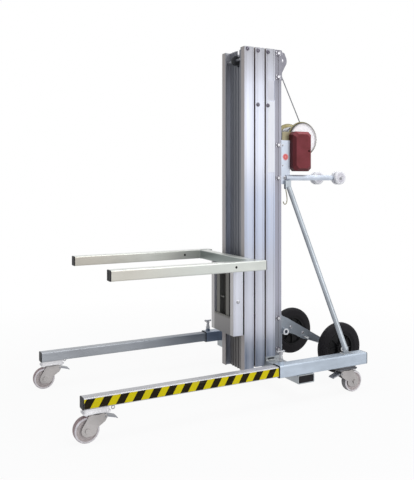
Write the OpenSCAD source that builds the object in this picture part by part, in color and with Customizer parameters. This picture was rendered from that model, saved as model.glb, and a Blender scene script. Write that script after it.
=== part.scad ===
// Material hoist: a telescopic mast with forks, on a wheeled base with sliding
// legs, lifted by a hand winch. X runs across the machine, the forks point
// along -Y, and Z = 0 is the floor. Sizes are in millimetres.

/* [Base frame] */
// Outside width of the base, over the side beams
base_w = 763; // [700:1:860]
// Width and height of a sliding leg
leg_w = 45; // [40:0.5:50]
// Wall of a sliding leg
leg_wall = 3; // [2:0.5:5]
// Running gap between leg and side beam
leg_gap = 0.3; // [0.25:0.05:0.5]
// Wall of a side beam
beam_wall = 4.7; // [3:0.1:6]
// Front end of the legs, measured from the middle of the machine
leg_front = 724; // [640:1:800]
// Front mouth of the side beams, behind the middle of the machine
beam_front = 162; // [140:1:180]
// Rear end of the side beams
beam_rear = 656; // [620:1:680]
// Length of leg that is held inside the beam
leg_held = 398; // [340:1:420]
// Height of the underside of the side beams
beam_z = 125; // [120:1:140]
// Depth of the cross tube, front to back
cross_d = 90; // [70:1:100]
// Height of the cross tube
cross_h = 40; // [30:1:50]
// Wall of the cross tube
cross_wall = 4; // [3:0.5:6]
// Front face of the cross tube
cross_y = 258; // [256:0.5:264]
// Radius of the leg clamp screw
clamp_r = 6; // [5:0.5:7]

/* [Casters] */
// Radius of a caster wheel
caster_r = 50; // [45:0.5:52]
// Width of a caster wheel
caster_w = 32; // [26:0.5:34]
// Distance from the swivel axis to the wheel axle
caster_trail = 38; // [30:1:42]
// Distance of the front swivels in front of the middle
front_swivel = 668; // [600:1:680]
// Distance of the rear swivels behind the middle
rear_swivel = 548; // [520:1:570]
// Length of a caster mounting plate
plate_l = 108; // [90:1:120]
// Thickness of the swivel crown
crown_t = 5; // [4:0.5:6]
// Radius of the caster axle bolt
axle_bolt_r = 6; // [5:0.5:7]

/* [Transport wheels] */
// Radius of a transport wheel
tyre_r = 125; // [110:1:130]
// Width of a transport wheel
tyre_w = 40; // [34:1:46]
// Distance of a transport wheel from the middle
tyre_x = 206; // [195:1:220]
// Distance of the wheel axle behind the middle
axle_y = 631; // [600:1:640]
// Height of the wheel axle
axle_z = 166; // [150:1:190]
// Radius of the wheel axle
axle_r = 10; // [8:0.5:12]
// Running gap of every shaft in its bore
fit = 0.05; // [0.02:0.01:0.1]

/* [Mast] */
// Width of the mast over both columns
mast_w = 221; // [200:1:240]
// Width of one column
column_w = 30; // [26:1:36]
// Depth of one mast section
column_d = 52; // [46:1:56]
// Wall of the mast columns
column_wall = 3; // [2.5:0.5:4]
// Gap between neighbouring mast sections
stage_gap = 9; // [7:0.5:11]
// Height of the top of the mast
mast_top = 1644; // [1500:1:1800]
// Front face of the base mast
base_mast_y = 262; // [261:0.5:266]
// Height of the foot of the base mast
base_foot = 142; // [136:1:150]
// Height of the foot of the middle mast
mid_foot = 100; // [90:1:120]
// Height of the foot of the inner mast
inner_foot = 71; // [60:1:85]
// Depth of the rear clamping rails
rail_d = 41; // [36:1:44]
// Length of a slide shoe
shoe_l = 80; // [60:1:90]
// Running gap of the slide shoes
shoe_gap = 0.3; // [0.25:0.05:0.5]

/* [Carriage and forks] */
// Height of the foot of the carriage
carriage_foot = 261; // [245:1:280]
// Height of the carriage
carriage_h = 332; // [300:1:360]
// Size of the square fork tube
fork_w = 45; // [40:1:50]
// Wall of the fork tube
fork_wall = 3; // [2:0.5:4]
// Width over both forks
forks_over = 578; // [520:1:640]
// Reach of the fork tips in front of the middle
fork_reach = 587; // [500:1:620]
// Length of fork behind the cross bar front
fork_tail = 68; // [60:1:80]
// Radius of the cross hole in each fork
fork_hole_r = 5; // [4:0.5:6]
// Distance of the cross hole in front of the middle
fork_hole = 7; // [0:1:20]

/* [Winch] */
// Distance of the drum axis behind the middle
drum_y = 512; // [508:1:520]
// Height of the drum axis above the winch bracket
drum_rise = 11; // [8:0.5:14]
// Height of the top of the winch bracket
bracket_top = 1201; // [1180:1:1240]
// Height of the winch bracket
bracket_h = 219; // [190:1:240]
// Radius of the drum barrel with its hidden layers
barrel_r = 57.5; // [50:0.5:58]
// Radius of the drum flanges
flange_r = 89; // [80:0.5:89]
// Width between the drum flanges
drum_w = 118; // [116:0.5:122]
// Thickness of a drum flange
flange_t = 3; // [2:0.5:4]
// Radius of the drum shaft
drum_shaft_r = 8; // [6:0.5:9]
// Diameter of the lifting rope
rope_d = 6; // [5:0.1:6]
// Loops of rope in the lower layer of the drum
lower_loops = 15; // [11:1:15]
// Teeth of the drum gear
gear_teeth = 66; // [60:1:66]
// Teeth of the pinion
pinion_teeth = 12; // [12:1:13]
// Tooth module
tooth_m = 2.5; // [2.3:0.1:2.5]
// Width of the gear face
gear_w = 8; // [6:0.5:9]
// Radius of the crank
crank_r = 180; // [140:1:185]
// Length of the crank grip
grip_l = 108; // [90:1:120]
// Radius of the top sheave at the rope's middle
sheave_r = 30; // [26:0.5:31]
// Distance of the top sheave axle behind the middle
sheave_y = 364; // [360:1:366]
// Height of the top sheave axle
sheave_z = 1595; // [1560:1:1600]
// Radius of a loading roller
roller_r = 35; // [28:0.5:36]
// Distance of the loading roller axles behind the middle
roller_y = 721; // [700:1:725]

/* [Hidden] */
$fn = 48;

beam_w = leg_w + 2 * (leg_gap + beam_wall);
beam_x = base_w / 2 - beam_w / 2;
beam_top = beam_z + beam_w;
beam_mid = beam_z + beam_w / 2;
leg_z = beam_mid - leg_w / 2;
leg_rear = beam_front + leg_held;
cross_z = beam_z - cross_h;
clamp_y = beam_front + 22;
boss_h = 12;

axle_height = caster_r;
crown_gap = 3;
crown_z = 2 * caster_r + crown_gap;
race_t = 3;
plate_z = crown_z + crown_t + race_t;
fork_gap = 3;
fork_plate_t = 3;
fork_in = caster_w / 2 + fork_gap;
fork_out = fork_in + fork_plate_t;
kingpin_r = 7;
race_r = 30;
pedal_y = 34;
pedal_drop = 9;

stage_pitch = column_d + stage_gap;
mid_y = base_mast_y - stage_pitch;
inner_y = mid_y - stage_pitch;
carriage_y = inner_y - stage_pitch;
column_x = mast_w / 2 - column_w;
web_y = 30;
web_t = 4;
lip_w = 8;
lip_t = 3;
rib_h = 5;
shoe_depth = 16;
shoe_in = column_x - 20;
rail_w = 24;
rail_y = base_mast_y + column_d;
rail_back = rail_y + rail_d;
rail_x = column_x + 0.5;
groove_d = 2;
groove_w = 8;
rail_out = rail_x + rail_w;
shoe_high = 250;
end_clamp = 18;

carriage_top = carriage_foot + carriage_h;
fork_x = forks_over / 2 - fork_w / 2;
bar_y = carriage_y + 2;
fork_rear = bar_y + fork_tail;
cap_t = 4;

back_t = 4;
bracket_y = rail_back + back_t;
bracket_rear = rail_back + 62;
bracket_foot = bracket_top - bracket_h;
cheek_x = 90;
cheek_t = 4;
arm_r = 14;
arm_x = 91;
arm_z = bracket_foot + 33;
tang_t = 10;
roller_gap = 0.3;
roller_w = 16;
roller_pin_r = 5;
arm_end = roller_y - roller_r - 14;

drum_z = bracket_top + drum_rise;
gear_x = drum_w / 2 + flange_t + 2;
gear_web_r = tooth_m * gear_teeth / 2 - 9;
frame_x = gear_x + gear_w + 4;
frame_t = 4;
mesh_slack = 0.2;
mesh_d = tooth_m * (gear_teeth + pinion_teeth) / 2 + mesh_slack;
pinion_angle = 257.2;
pinion_y = drum_y + mesh_d * cos(pinion_angle);
pinion_z = drum_z + mesh_d * sin(pinion_angle);
pinion_shaft_r = 7;
crank_x = -118;
crank_t = 8;
grip_r = 16;
grip_pin_r = 5;
cover_y = bracket_rear + 2;
cover_l = 112;
cover_out = 125;
cover_z = 1047;
cover_top = 1246;

rope_r = rope_d / 2;
layer_rise = rope_d + 1;
lower_r = barrel_r + rope_r + 0.1;
upper_r = lower_r + layer_rise;
rings = 24;
sheave_w = 14;
sheave_pin_r = 6;
stage_sheave_r = 20;
stage_pin_y = 16;
stage_pin_z = mast_top - 52;
pulley_cheek_x = 88;
carrier_tube_r = 16;
carrier_tube_y = rail_back + back_t + carrier_tube_r - 1;
carrier_tube_z = 254;
carrier_foot = 152;
carrier_top = 336;
carrier_knee = [bracket_y + 54, carrier_top - 27];
lashing_end = 120;
lashing_deep = 20;
lashing_r = 9;
arm_in = 46;
arm_out = 74;
arm_band = 28;
spacer_r = axle_r + 6;

steel = "silver";
zinc = [0.72, 0.74, 0.76];
alloy = [0.80, 0.81, 0.84];
yellow_zinc = [0.78, 0.72, 0.48];
black = [0.08, 0.08, 0.09];
nylon = [0.93, 0.93, 0.90];
grey_nylon = [0.62, 0.60, 0.58];
dark_red = [0.45, 0.08, 0.10];
rope_grey = [0.55, 0.57, 0.60];

// Draws its children and their mirror image across the middle of the machine.
module both_sides() {
    children();
    mirror([1, 0, 0]) children();
}

// A cylinder along X from x0 to x1, about the point (y, z).
module rod_x(x0, x1, y, z, r, sides = 48) {
    translate([x0, y, z]) rotate([0, 90, 0]) cylinder(h = x1 - x0, r = r, $fn = sides);
}

// A solid whose outline lies in the YZ plane, from x0 to x1.
module slab_x(x0, x1) {
    translate([x0, 0, 0]) rotate([90, 0, 90]) linear_extrude(x1 - x0) children();
}

// A box given by its low and high corners.
module block(low, high) {
    translate(low) cube(high - low);
}

// A square tube along Y with rounded long edges.
module tube_y(w, h, wall, y0, y1, r) {
    translate([0, y1, 0]) rotate([90, 0, 0]) linear_extrude(y1 - y0)
        difference() {
            rounded_box(w, h, r);
            rounded_box(w - 2 * wall, h - 2 * wall, max(r - wall, 0.5));
        }
}

// A rectangle about the middle with round corners.
module rounded_box(w, h, r) {
    for (s = [-1, 1]) for (t = [-1, 1])
        translate([s * (w / 2 - r), t * (h / 2 - r)]) circle(r, $fn = 24);
    square([w - 2 * r, h], center = true);
    square([w, h - 2 * r], center = true);
}

// Base frame

module cross_tube() {
    color(zinc) translate([0, cross_y + cross_d / 2, cross_z + cross_h / 2])
        rotate([0, 0, 90]) tube_y(cross_d, cross_h, cross_wall, -base_w / 2, base_w / 2, 5);
}

module side_beam() {
    color(zinc) translate([beam_x, 0, 0]) difference() {
        union() {
            translate([0, 0, beam_mid])
                tube_y(beam_w, beam_w, beam_wall, beam_front, beam_rear, 6);
            translate([0, clamp_y, beam_top - 1]) cylinder(h = boss_h + 1, r = clamp_r + 6);
        }
        translate([0, clamp_y, beam_mid]) cylinder(h = beam_w, r = clamp_r + fit);
    }
}

module frame_plugs() {
    plug_w = beam_w - 2 * beam_wall - 1;
    color(black) both_sides() {
        translate([beam_x, 0, beam_mid]) {
            tube_y(beam_w - 1, beam_w - 1, 20, beam_rear, beam_rear + cap_t, 5);
            translate([0, beam_rear + cap_t, 0]) rotate([90, 0, 0])
                linear_extrude(cap_t + 20) rounded_box(plug_w, plug_w, 2);
        }
        block([base_w / 2 - 18, cross_y + cross_wall + 0.5, cross_z + cross_wall + 0.5],
            [base_w / 2 - 0.5, cross_y + cross_d - cross_wall - 0.5, beam_z - cross_wall - 0.5]);
    }
}

// Welded box under the mast, open through the middle, with a window in each side.
module mast_foot() {
    color(zinc) difference() {
        block([-mast_w / 2 - 4, base_mast_y - 3, beam_z], [mast_w / 2 + 4, rail_back - 4, base_foot]);
        block([-column_x, base_mast_y - 4, beam_z - 1], [column_x, rail_back, base_foot - 5]);
        block([-mast_w, base_mast_y + 5, beam_z + 4], [mast_w, rail_y - 6, base_foot - 5]);
    }
}

// Sliding legs

module leg() {
    color(zinc) translate([beam_x, 0, beam_mid])
        tube_y(leg_w, leg_w, leg_wall, -leg_front + cap_t, leg_rear, 5);
}

module leg_cap() {
    inside = leg_w - 2 * leg_wall - 0.6;
    color(black) translate([beam_x, 0, beam_mid]) {
        translate([0, -leg_front + cap_t, 0]) rotate([90, 0, 0])
            linear_extrude(cap_t) rounded_box(leg_w, leg_w, 5);
        translate([0, -leg_front + cap_t + 18, 0]) rotate([90, 0, 0])
            linear_extrude(19) rounded_box(inside, inside, 3);
    }
}

module leg_clamp() {
    tip = beam_mid + leg_w / 2 + leg_gap;
    knob = beam_top + 56;
    handle = 15;
    color(steel) translate([beam_x, clamp_y, 0]) {
        translate([0, 0, tip]) cylinder(h = knob - tip, r = clamp_r);
        translate([0, 0, beam_top + boss_h + 4]) cylinder(h = 8, r = clamp_r + 5, $fn = 6);
        translate([0, 0, beam_top + boss_h + 16]) cylinder(h = 14, r1 = clamp_r + 3, r2 = clamp_r);
        translate([0, handle, knob]) rotate([90, 0, 0]) cylinder(h = 2 * handle, r = 4);
        for (s = [-1, 1]) translate([0, s * handle, knob]) sphere(r = 5.5, $fn = 24);
    }
}

// Casters, drawn about the swivel axis with the wheel ahead of it along -Y

module caster_plate(top) {
    color(zinc) {
        translate([0, 0, plate_z]) linear_extrude(5) rounded_box(beam_w - 4, plate_l, 6);
        translate([0, 0, plate_z]) linear_extrude(top - plate_z) rounded_box(leg_w - 6, plate_l - 8, 6);
        for (s = [-1, 1]) for (t = [-1, 1])
            translate([s * 19, t * (plate_l / 2 - 12), plate_z - 4]) cylinder(h = 5, r = 6, $fn = 6);
        translate([0, 0, crown_z - 1]) cylinder(h = plate_z - crown_z + 2, r = kingpin_r);
    }
}

// Side plate of a caster fork: a wide crown end and a broad round foot about
// the axle.
module fork_side() {
    foot_r = caster_r / 2 - 2;
    polygon([[-race_r - 2, crown_z + 1], [race_r + 6, crown_z + 1], [pedal_y + 8, crown_z - pedal_drop],
        [race_r + 2, crown_z - 26], [-caster_trail + 38, axle_height + 6], [-caster_trail + 29, axle_height - 12],
        [-caster_trail + foot_r, axle_height], [-caster_trail - foot_r, axle_height],
        [-caster_trail - foot_r + 3, axle_height + 14]]);
    translate([-caster_trail, axle_height]) circle(foot_r);
    translate([-caster_trail + 15, axle_height + 1]) circle(foot_r);
}

module caster_fork() {
    color(zinc) difference() {
        union() {
            for (s = [-1, 1])
                slab_x(s > 0 ? fork_in : -fork_out, s > 0 ? fork_out : -fork_in) fork_side();
            intersection() {
                translate([0, 0, crown_z]) cylinder(h = crown_t, r = race_r + 4);
                block([-fork_out, -race_r - 4, crown_z], [fork_out, race_r + 4, crown_z + crown_t]);
            }
            translate([0, 0, crown_z + crown_t - 1]) cylinder(h = race_t + 0.7, r = race_r - 4);
            rod_x(-fork_out - 6, fork_out + 6, -caster_trail, axle_height, axle_bolt_r);
            for (s = [-1, 1])
                rod_x(s > 0 ? fork_out : -fork_out - 6, s > 0 ? fork_out + 6 : -fork_out,
                    -caster_trail, axle_height, 10, 6);
        }
        translate([0, 0, crown_z - 2]) cylinder(h = plate_z - crown_z + 4, r = kingpin_r + fit);
        rod_x(-fork_out - 1, fork_out + 1, pedal_y, crown_z - pedal_drop, 3 + fit);
    }
}

module caster_wheel() {
    half = caster_w / 2;
    hub_half = half + fork_gap - 0.3;
    bore = axle_bolt_r + fit;
    color(grey_nylon) translate([0, -caster_trail, axle_height]) rotate([0, 90, 0]) rotate_extrude($fn = 72)
        polygon([[bore, -hub_half], [bore + 7, -hub_half], [bore + 9, -half + 5], [caster_r - 14, -half + 5],
            [caster_r - 9, -half], [caster_r - 4, -half], [caster_r - 0.8, -half + 3], [caster_r, -half + 8],
            [caster_r, half - 8], [caster_r - 0.8, half - 3], [caster_r - 4, half], [caster_r - 9, half],
            [caster_r - 14, half - 5], [bore + 9, half - 5], [bore + 7, hub_half], [bore, hub_half]]);
}

module brake_pedal() {
    tread = fork_in - 2;
    color(steel) {
        rod_x(-fork_out - 2, fork_out + 2, pedal_y, crown_z - pedal_drop, 3);
        slab_x(-tread, tread) polygon([[pedal_y - 6, crown_z - pedal_drop - 4], [pedal_y - 4, crown_z - pedal_drop + 4],
            [pedal_y + 8, crown_z - pedal_drop + 3], [pedal_y + 44, crown_z - pedal_drop - 9],
            [pedal_y + 50, crown_z - pedal_drop - 14], [pedal_y + 48, crown_z - pedal_drop - 17],
            [pedal_y + 42, crown_z - pedal_drop - 13], [pedal_y + 6, crown_z - pedal_drop - 3]]);
    }
}

// Puts a caster piece at one corner: end is 1 at the front and -1 at the rear.
module at_caster(side, end) {
    translate([side * beam_x, end > 0 ? -front_swivel : rear_swivel, 0])
        rotate([0, 0, end > 0 ? 0 : 180]) children();
}

// Transport wheels

// Plate on the mast's rear rails with the lashing tube across it.
module wheel_carrier() {
    color(zinc) difference() {
        union() {
            block([-rail_out, rail_back, carrier_foot], [rail_out, bracket_y, carrier_top]);
            rod_x(-lashing_end, lashing_end, carrier_tube_y, carrier_tube_z, carrier_tube_r);
        }
        for (s = [-1, 1])
            rod_x(s > 0 ? lashing_end - lashing_deep : -lashing_end - 1,
                s > 0 ? lashing_end + 1 : lashing_deep - lashing_end, carrier_tube_y, carrier_tube_z, lashing_r);
    }
}

// Sloped arms from the carrier plate down to the axle, each a folded channel
// with a slot in its outer side.
module carrier_arms() {
    far = axle_y - spacer_r - 1;
    lean = (carrier_knee[1] - axle_z - 27) / (far - carrier_knee[0]);
    channel = [[bracket_y, carrier_top - 2], carrier_knee, [far, axle_z + 27], [axle_y, axle_z + spacer_r + 2],
        [axle_y, axle_z], [axle_y - 40, axle_z + 8], [carrier_knee[0], carrier_knee[1] - arm_band],
        [bracket_y, carrier_top - 2 - arm_band]];
    gusset = [[bracket_y, carrier_top - arm_band], [carrier_knee[0], carrier_knee[1] - 24],
        [axle_y - 40, axle_z + 10], [axle_y, axle_z - 8], [axle_y - 31, axle_z],
        [axle_y - 131, axle_z + 32], [bracket_y + 79, axle_z + 67], [bracket_y, axle_z + 66]];
    slot_from = carrier_knee[0] + 84;
    slot_z = carrier_knee[1] - 84 * lean - 34;
    color(zinc) both_sides() difference() {
        union() {
            slab_x(arm_in, arm_out) polygon(channel);
            slab_x(arm_out - 4, arm_out) polygon(gusset);
        }
        rod_x(arm_in - 1, arm_out + 1, axle_y, axle_z, spacer_r + fit);
        rod_x(arm_in - 1, arm_out + 1, carrier_tube_y, carrier_tube_z, carrier_tube_r + fit);
        slab_x(arm_out - 14, arm_out + 6) polygon([[slot_from, slot_z], [slot_from + 52, slot_z - 52 * lean],
            [slot_from + 46, slot_z - 52 * lean - 8], [slot_from - 6, slot_z - 12]]);
    }
}

module transport_axle() {
    end = tyre_x + tyre_w / 2 + 8;
    shoulder = tyre_x - tyre_w / 2 - 6;
    color(steel) {
        rod_x(-end, end, axle_y, axle_z, axle_r);
        rod_x(-shoulder, shoulder, axle_y, axle_z, spacer_r);
        both_sides() translate([end, axle_y, axle_z]) rotate([0, 90, 0]) rotate_extrude($fn = 48)
            intersection() {
                circle(14, $fn = 48);
                translate([0, -5]) square([20, 20]);
            }
    }
}

module transport_hub() {
    rim = tyre_r - 50;
    half = tyre_w / 2;
    boss = 26;
    ribs = 8;
    color(black) translate([tyre_x, axle_y, axle_z]) rotate([0, 90, 0]) {
        rotate_extrude($fn = 96) polygon([[axle_r + fit, -half - 2], [boss - 2, -half - 2], [boss, -4],
            [rim - 10, -4], [rim - 6, -half + 5], [rim, -half + 5], [rim, half - 5], [rim - 6, half - 5],
            [rim - 10, 4], [boss, 4], [boss - 2, half + 2], [axle_r + fit, half + 2]]);
        for (k = [0:ribs - 1]) rotate([0, 0, k * 360 / ribs])
            translate([boss - 3, -2, -half + 9]) cube([rim - 5 - boss, 4, 2 * half - 18]);
    }
}

module transport_tyre() {
    rim = tyre_r - 50;
    half = tyre_w / 2;
    color(black) translate([tyre_x, axle_y, axle_z]) rotate([0, 90, 0]) rotate_extrude($fn = 96)
        polygon([[rim, -half + 6], [rim + 12, -half], [tyre_r - 14, -half], [tyre_r - 6, -half + 3],
            [tyre_r - 1.5, -half + 9], [tyre_r, -half + 15], [tyre_r, half - 15], [tyre_r - 1.5, half - 9],
            [tyre_r - 6, half - 3], [tyre_r - 14, half], [rim + 12, half], [rim, half - 6]]);
}

// Braces from the winch bracket down to the side beams

brace_r = 12.5;
brace_top = [cheek_x + 6, bracket_y + 36, bracket_foot + 10];
brace_foot = [beam_x, 560, beam_top];

module brace() {
    run = brace_foot - brace_top;
    length = norm(run);
    lean = acos(-run[2] / length);
    turn = atan2(run[1], run[0]);
    translate(brace_top) rotate([0, 180 - lean, turn]) {
        translate([0, 0, 26]) cylinder(h = length - 46, r = brace_r);
    }
}

module braces() {
    color(zinc) both_sides() {
        difference() {
            union() {
                brace();
                block([cheek_x + 0.3, brace_top[1] - 14, brace_top[2] - 34],
                    [cheek_x + 16, brace_top[1] + 18, arm_z - arm_r - 1]);
            }
            rod_x(0, cheek_x + 0.3, brace_top[1], brace_top[2], 60);
        }
        block([beam_x - 20, brace_foot[1] - 26, beam_top], [beam_x + 14, brace_foot[1] + 22, beam_top + 4]);
        block([beam_x - 9, brace_foot[1] - 18, beam_top + 3], [beam_x - 3, brace_foot[1] + 10, beam_top + 30]);
    }
}

// Mast

// Outline of one mast section from its front face back: two box columns with
// guide lips, joined by a ribbed web.
module section_outline(lips = true) {
    for (s = [-1, 1]) scale([s, 1]) {
        difference() {
            translate([column_x, 0]) square([column_w, column_d]);
            translate([column_x + column_wall, column_wall])
                square([column_w - 2 * column_wall, column_d - 2 * column_wall]);
            for (y = [9, column_d - 9]) translate([mast_w / 2 - 1, y - 1.2]) square([2, 2.4]);
        }
        if (lips) translate([column_x - lip_w, 0]) square([lip_w + 1, lip_t]);
    }
    translate([-column_x - 1, web_y]) square([2 * column_x + 2, web_t]);
    if (lips) for (x = [-48:24:48]) translate([x - 2, web_y - rib_h]) square([4, rib_h + 1]);
}

// Rear clamping rails of the base mast, with a bolt groove in each outer side.
module rail_outline() {
    for (s = [-1, 1]) scale([s, 1]) difference() {
        translate([rail_x, column_d - 1]) square([rail_w, rail_d + 1]);
        translate([rail_x + 3, column_d + 3]) square([rail_w - 7, rail_d - 6]);
        translate([rail_x + rail_w - groove_d, column_d + (rail_d - groove_w) / 2]) square([groove_d + 1, groove_w]);
    }
}

module base_mast() {
    color(alloy) translate([0, base_mast_y, base_foot]) linear_extrude(mast_top - base_foot) {
        section_outline();
        rail_outline();
    }
}

// A moving section from its foot to the mast top, with its rope sheave's pin in
// a notch of the web.
module moving_section(y, foot) {
    color(alloy) {
        difference() {
            translate([0, y, foot]) linear_extrude(mast_top - foot) section_outline();
            block([-sheave_w / 2 - 3, y - 1, stage_pin_z - 32], [sheave_w / 2 + 3, y + column_d + 1, mast_top + 1]);
        }
        rod_x(-column_x - 1, column_x + 1, y + stage_pin_y, stage_pin_z, sheave_pin_r);
    }
}

module mid_mast() {
    moving_section(mid_y, mid_foot);
}

module inner_mast() {
    moving_section(inner_y, inner_foot);
}

// Slide shoe that is bolted behind a section and runs inside the lips of the next.
module shoe(y, z) {
    lip_in = column_x - lip_w;
    front = y + column_d;
    next = front + stage_gap;
    translate([0, 0, z]) linear_extrude(shoe_l) polygon([
        [column_x + column_w - 4, front], [shoe_in, front], [shoe_in, next + shoe_depth],
        [column_x - shoe_gap, next + shoe_depth], [column_x - shoe_gap, next + lip_t + shoe_gap],
        [lip_in - shoe_gap, next + lip_t + shoe_gap], [lip_in - shoe_gap, next - shoe_gap],
        [column_x + column_w - 4, next - shoe_gap]]);
}

module shoe_set(y, low) {
    color(nylon) both_sides() {
        shoe(y, low);
        shoe(y, low + shoe_high);
    }
}

clamp_heights = [mast_top - end_clamp, mast_top - end_clamp - 116, bracket_top - 26, bracket_foot + 31,
    carrier_top - 13, carrier_foot + end_clamp];

module rail_clamps() {
    color(steel) both_sides() for (z = clamp_heights)
        translate([rail_out, rail_y + rail_d / 2, z]) {
            block([0, -13, -10], [4, 13, 10]);
            rotate([0, 90, 0]) cylinder(h = 10, r = 8, $fn = 6);
            rotate([0, 90, 0]) translate([0, 0, -groove_d + 0.2]) cylinder(h = groove_d, r = groove_w / 2 - 0.4);
        }
}

module top_pulley_bracket() {
    foot = min(sheave_z - 99, mast_top - 148);
    top = max(sheave_z + 47, mast_top - 2);
    inner = pulley_cheek_x - cheek_t;
    color(alloy) {
        both_sides() {
            slab_x(inner, pulley_cheek_x) intersection() {
                union() {
                    polygon([[rail_back, foot], [rail_back + 14, foot], [rail_back + 16, foot + 40],
                        [sheave_y + sheave_r + 3, sheave_z - 12], [sheave_y + sheave_r + 3, sheave_z + 14],
                        [sheave_y + 20, top - 6], [rail_back, top]]);
                    translate([sheave_y, sheave_z]) circle(sheave_r + 5);
                }
                translate([rail_back, foot]) square([mast_w, top - foot]);
            }
            block([inner, rail_back, foot], [rail_out, rail_back + cheek_t, top]);
            block([rail_x - 6.3, sheave_y - 12, sheave_z - 12], [rail_x - 0.3, sheave_y + 12, sheave_z + 12]);
            rod_x(sheave_w / 2 + 0.3, rail_x - 2, sheave_y, sheave_z, sheave_pin_r + 4);
        }
        rod_x(-rail_x + 1, rail_x - 1, sheave_y, sheave_z, sheave_pin_r);
        both_sides() block([rail_x - 4, rail_back, sheave_z - 12], [inner + 1, sheave_y + 12, sheave_z + 12]);
    }
}

// Grooved rope sheave about the X axis through (0, y, z).
module sheave(y, z, r) {
    half = sheave_w / 2;
    color(nylon) translate([0, y, z]) rotate([0, 90, 0]) rotate_extrude($fn = 64) difference() {
        translate([sheave_pin_r + fit, -half]) square([r + rope_r - sheave_pin_r - fit, sheave_w]);
        translate([r, 0]) circle(rope_r + 0.3, $fn = 32);
        translate([r, -rope_r - 0.3]) square([rope_d, rope_d + 0.6]);
    }
}

// Carriage and forks

module carriage() {
    color(alloy) {
        translate([0, carriage_y, carriage_foot]) linear_extrude(carriage_h) {
            section_outline(false);
            for (s = [-1, 1]) scale([s, 1]) difference() {
                translate([30, 4]) square([32, web_y - 3]);
                translate([33, 7]) square([26, web_y - 10]);
            }
        }
        block([-column_x - 1, carriage_y, carriage_foot], [column_x + 1, carriage_y + 4.5, carriage_foot + 88]);
        rod_x(-34, 6, carriage_y + 12, carriage_foot + 170, 4);
    }
}

module fork_frame() {
    mid = carriage_top + fork_w / 2;
    color(zinc) difference() {
        union() {
            for (s = [-1, 1]) translate([s * fork_x, 0, mid])
                tube_y(fork_w, fork_w, fork_wall, -fork_reach + cap_t, fork_rear, 5);
            translate([0, bar_y + fork_w / 2, mid]) rotate([0, 0, 90])
                tube_y(fork_w, fork_w, fork_wall, -fork_x + fork_w / 2 - 1, fork_x - fork_w / 2 + 1, 5);
        }
        for (s = [-1, 1]) rod_x(s * fork_x - fork_w, s * fork_x + fork_w, -fork_hole, mid, fork_hole_r);
    }
}

module fork_caps() {
    mid = carriage_top + fork_w / 2;
    inside = fork_w - 2 * fork_wall - 0.6;
    color(black) for (s = [-1, 1]) translate([s * fork_x, 0, mid]) {
        translate([0, -fork_reach + cap_t, 0]) rotate([90, 0, 0])
            linear_extrude(cap_t) rounded_box(fork_w, fork_w, 5);
        translate([0, -fork_reach + cap_t + 16, 0]) rotate([90, 0, 0])
            linear_extrude(17) rounded_box(inside, inside, 3);
        translate([0, fork_rear + 3, 0]) rotate([90, 0, 0])
            linear_extrude(3) rounded_box(fork_w - 1, fork_w - 1, 5);
        translate([0, fork_rear + 1, 0]) rotate([90, 0, 0])
            linear_extrude(17) rounded_box(inside, inside, 3);
    }
}

// Winch bracket with the two loading arms

module winch_bracket() {
    color(zinc) difference() {
        union() {
            block([-rail_out, rail_back, bracket_foot], [rail_out, bracket_y, bracket_top]);
            block([-cheek_x, bracket_y - 1, bracket_top - 4], [cheek_x, bracket_rear, bracket_top]);
            block([-cheek_x, bracket_rear - 4, bracket_foot + 78], [cheek_x, bracket_rear, bracket_top]);
            both_sides() {
                block([cheek_x - cheek_t, bracket_y - 1, bracket_foot], [cheek_x, bracket_rear, bracket_top]);
                translate([arm_x, bracket_y + 30, arm_z]) rotate([-90, 0, 0])
                    cylinder(h = arm_end - bracket_y - 30, r = arm_r);
                translate([arm_x, arm_end, arm_z]) rotate([-90, 0, 0])
                    cylinder(h = 12, r1 = arm_r, r2 = arm_r - 6);
                slab_x(arm_x - tang_t / 2, arm_x + tang_t / 2) {
                    translate([roller_y, arm_z]) circle(13);
                    translate([arm_end + 10, arm_z - 7]) square([roller_y - arm_end - 10, 14]);
                }
            }
        }
        for (s = [-1, 1]) {
            rod_x(s * arm_x - 20, s * arm_x + 20, roller_y, arm_z, roller_pin_r + fit);
        }
    }
}

module loading_roller() {
    inner = tang_t / 2 + roller_gap;
    outer = inner + roller_w;
    color(nylon) translate([arm_x, roller_y, arm_z]) rotate([0, 90, 0]) {
        rotate_extrude($fn = 64) polygon([[0, -outer - 3], [9, -outer - 3], [10, -outer], [roller_r - 6, -outer],
            [roller_r - 1.5, -outer + 2], [roller_r, -outer + 6], [roller_r, -inner - 2], [roller_r - 2, -inner],
            [roller_pin_r, -inner], [roller_pin_r, inner], [roller_r - 2, inner], [roller_r, inner + 2],
            [roller_r, outer - 6], [roller_r - 1.5, outer - 2], [roller_r - 6, outer], [10, outer],
            [9, outer + 3], [0, outer + 3]]);
    }
}

// Winch

module cheek_outline() {
    difference() {
        union() {
            translate([drum_y, drum_z]) circle(26);
            translate([pinion_y, pinion_z]) circle(24);
            polygon([[bracket_rear, bracket_top - 96], [pinion_y, pinion_z - 24], [pinion_y + 23, pinion_z - 4],
                [drum_y + 25, drum_z - 4], [drum_y + 8, drum_z + 25], [drum_y - 20, drum_z + 33],
                [bracket_y + 19, drum_z + 33], [bracket_y + 17, bracket_top], [bracket_rear, bracket_top]]);
        }
        translate([drum_y, drum_z]) circle(drum_shaft_r + fit);
        translate([pinion_y, pinion_z]) circle(pinion_shaft_r + fit);
    }
}

module winch_frame() {
    color(yellow_zinc) {
        both_sides() slab_x(frame_x, frame_x + frame_t) cheek_outline();
        block([-frame_x - 1, bracket_y + 18, bracket_top], [frame_x + 1, bracket_rear, bracket_top + 4]);
        block([-frame_x - 1, bracket_rear, bracket_top - 95], [frame_x + 1, bracket_rear + 4, bracket_top - 20]);
    }
}

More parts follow.
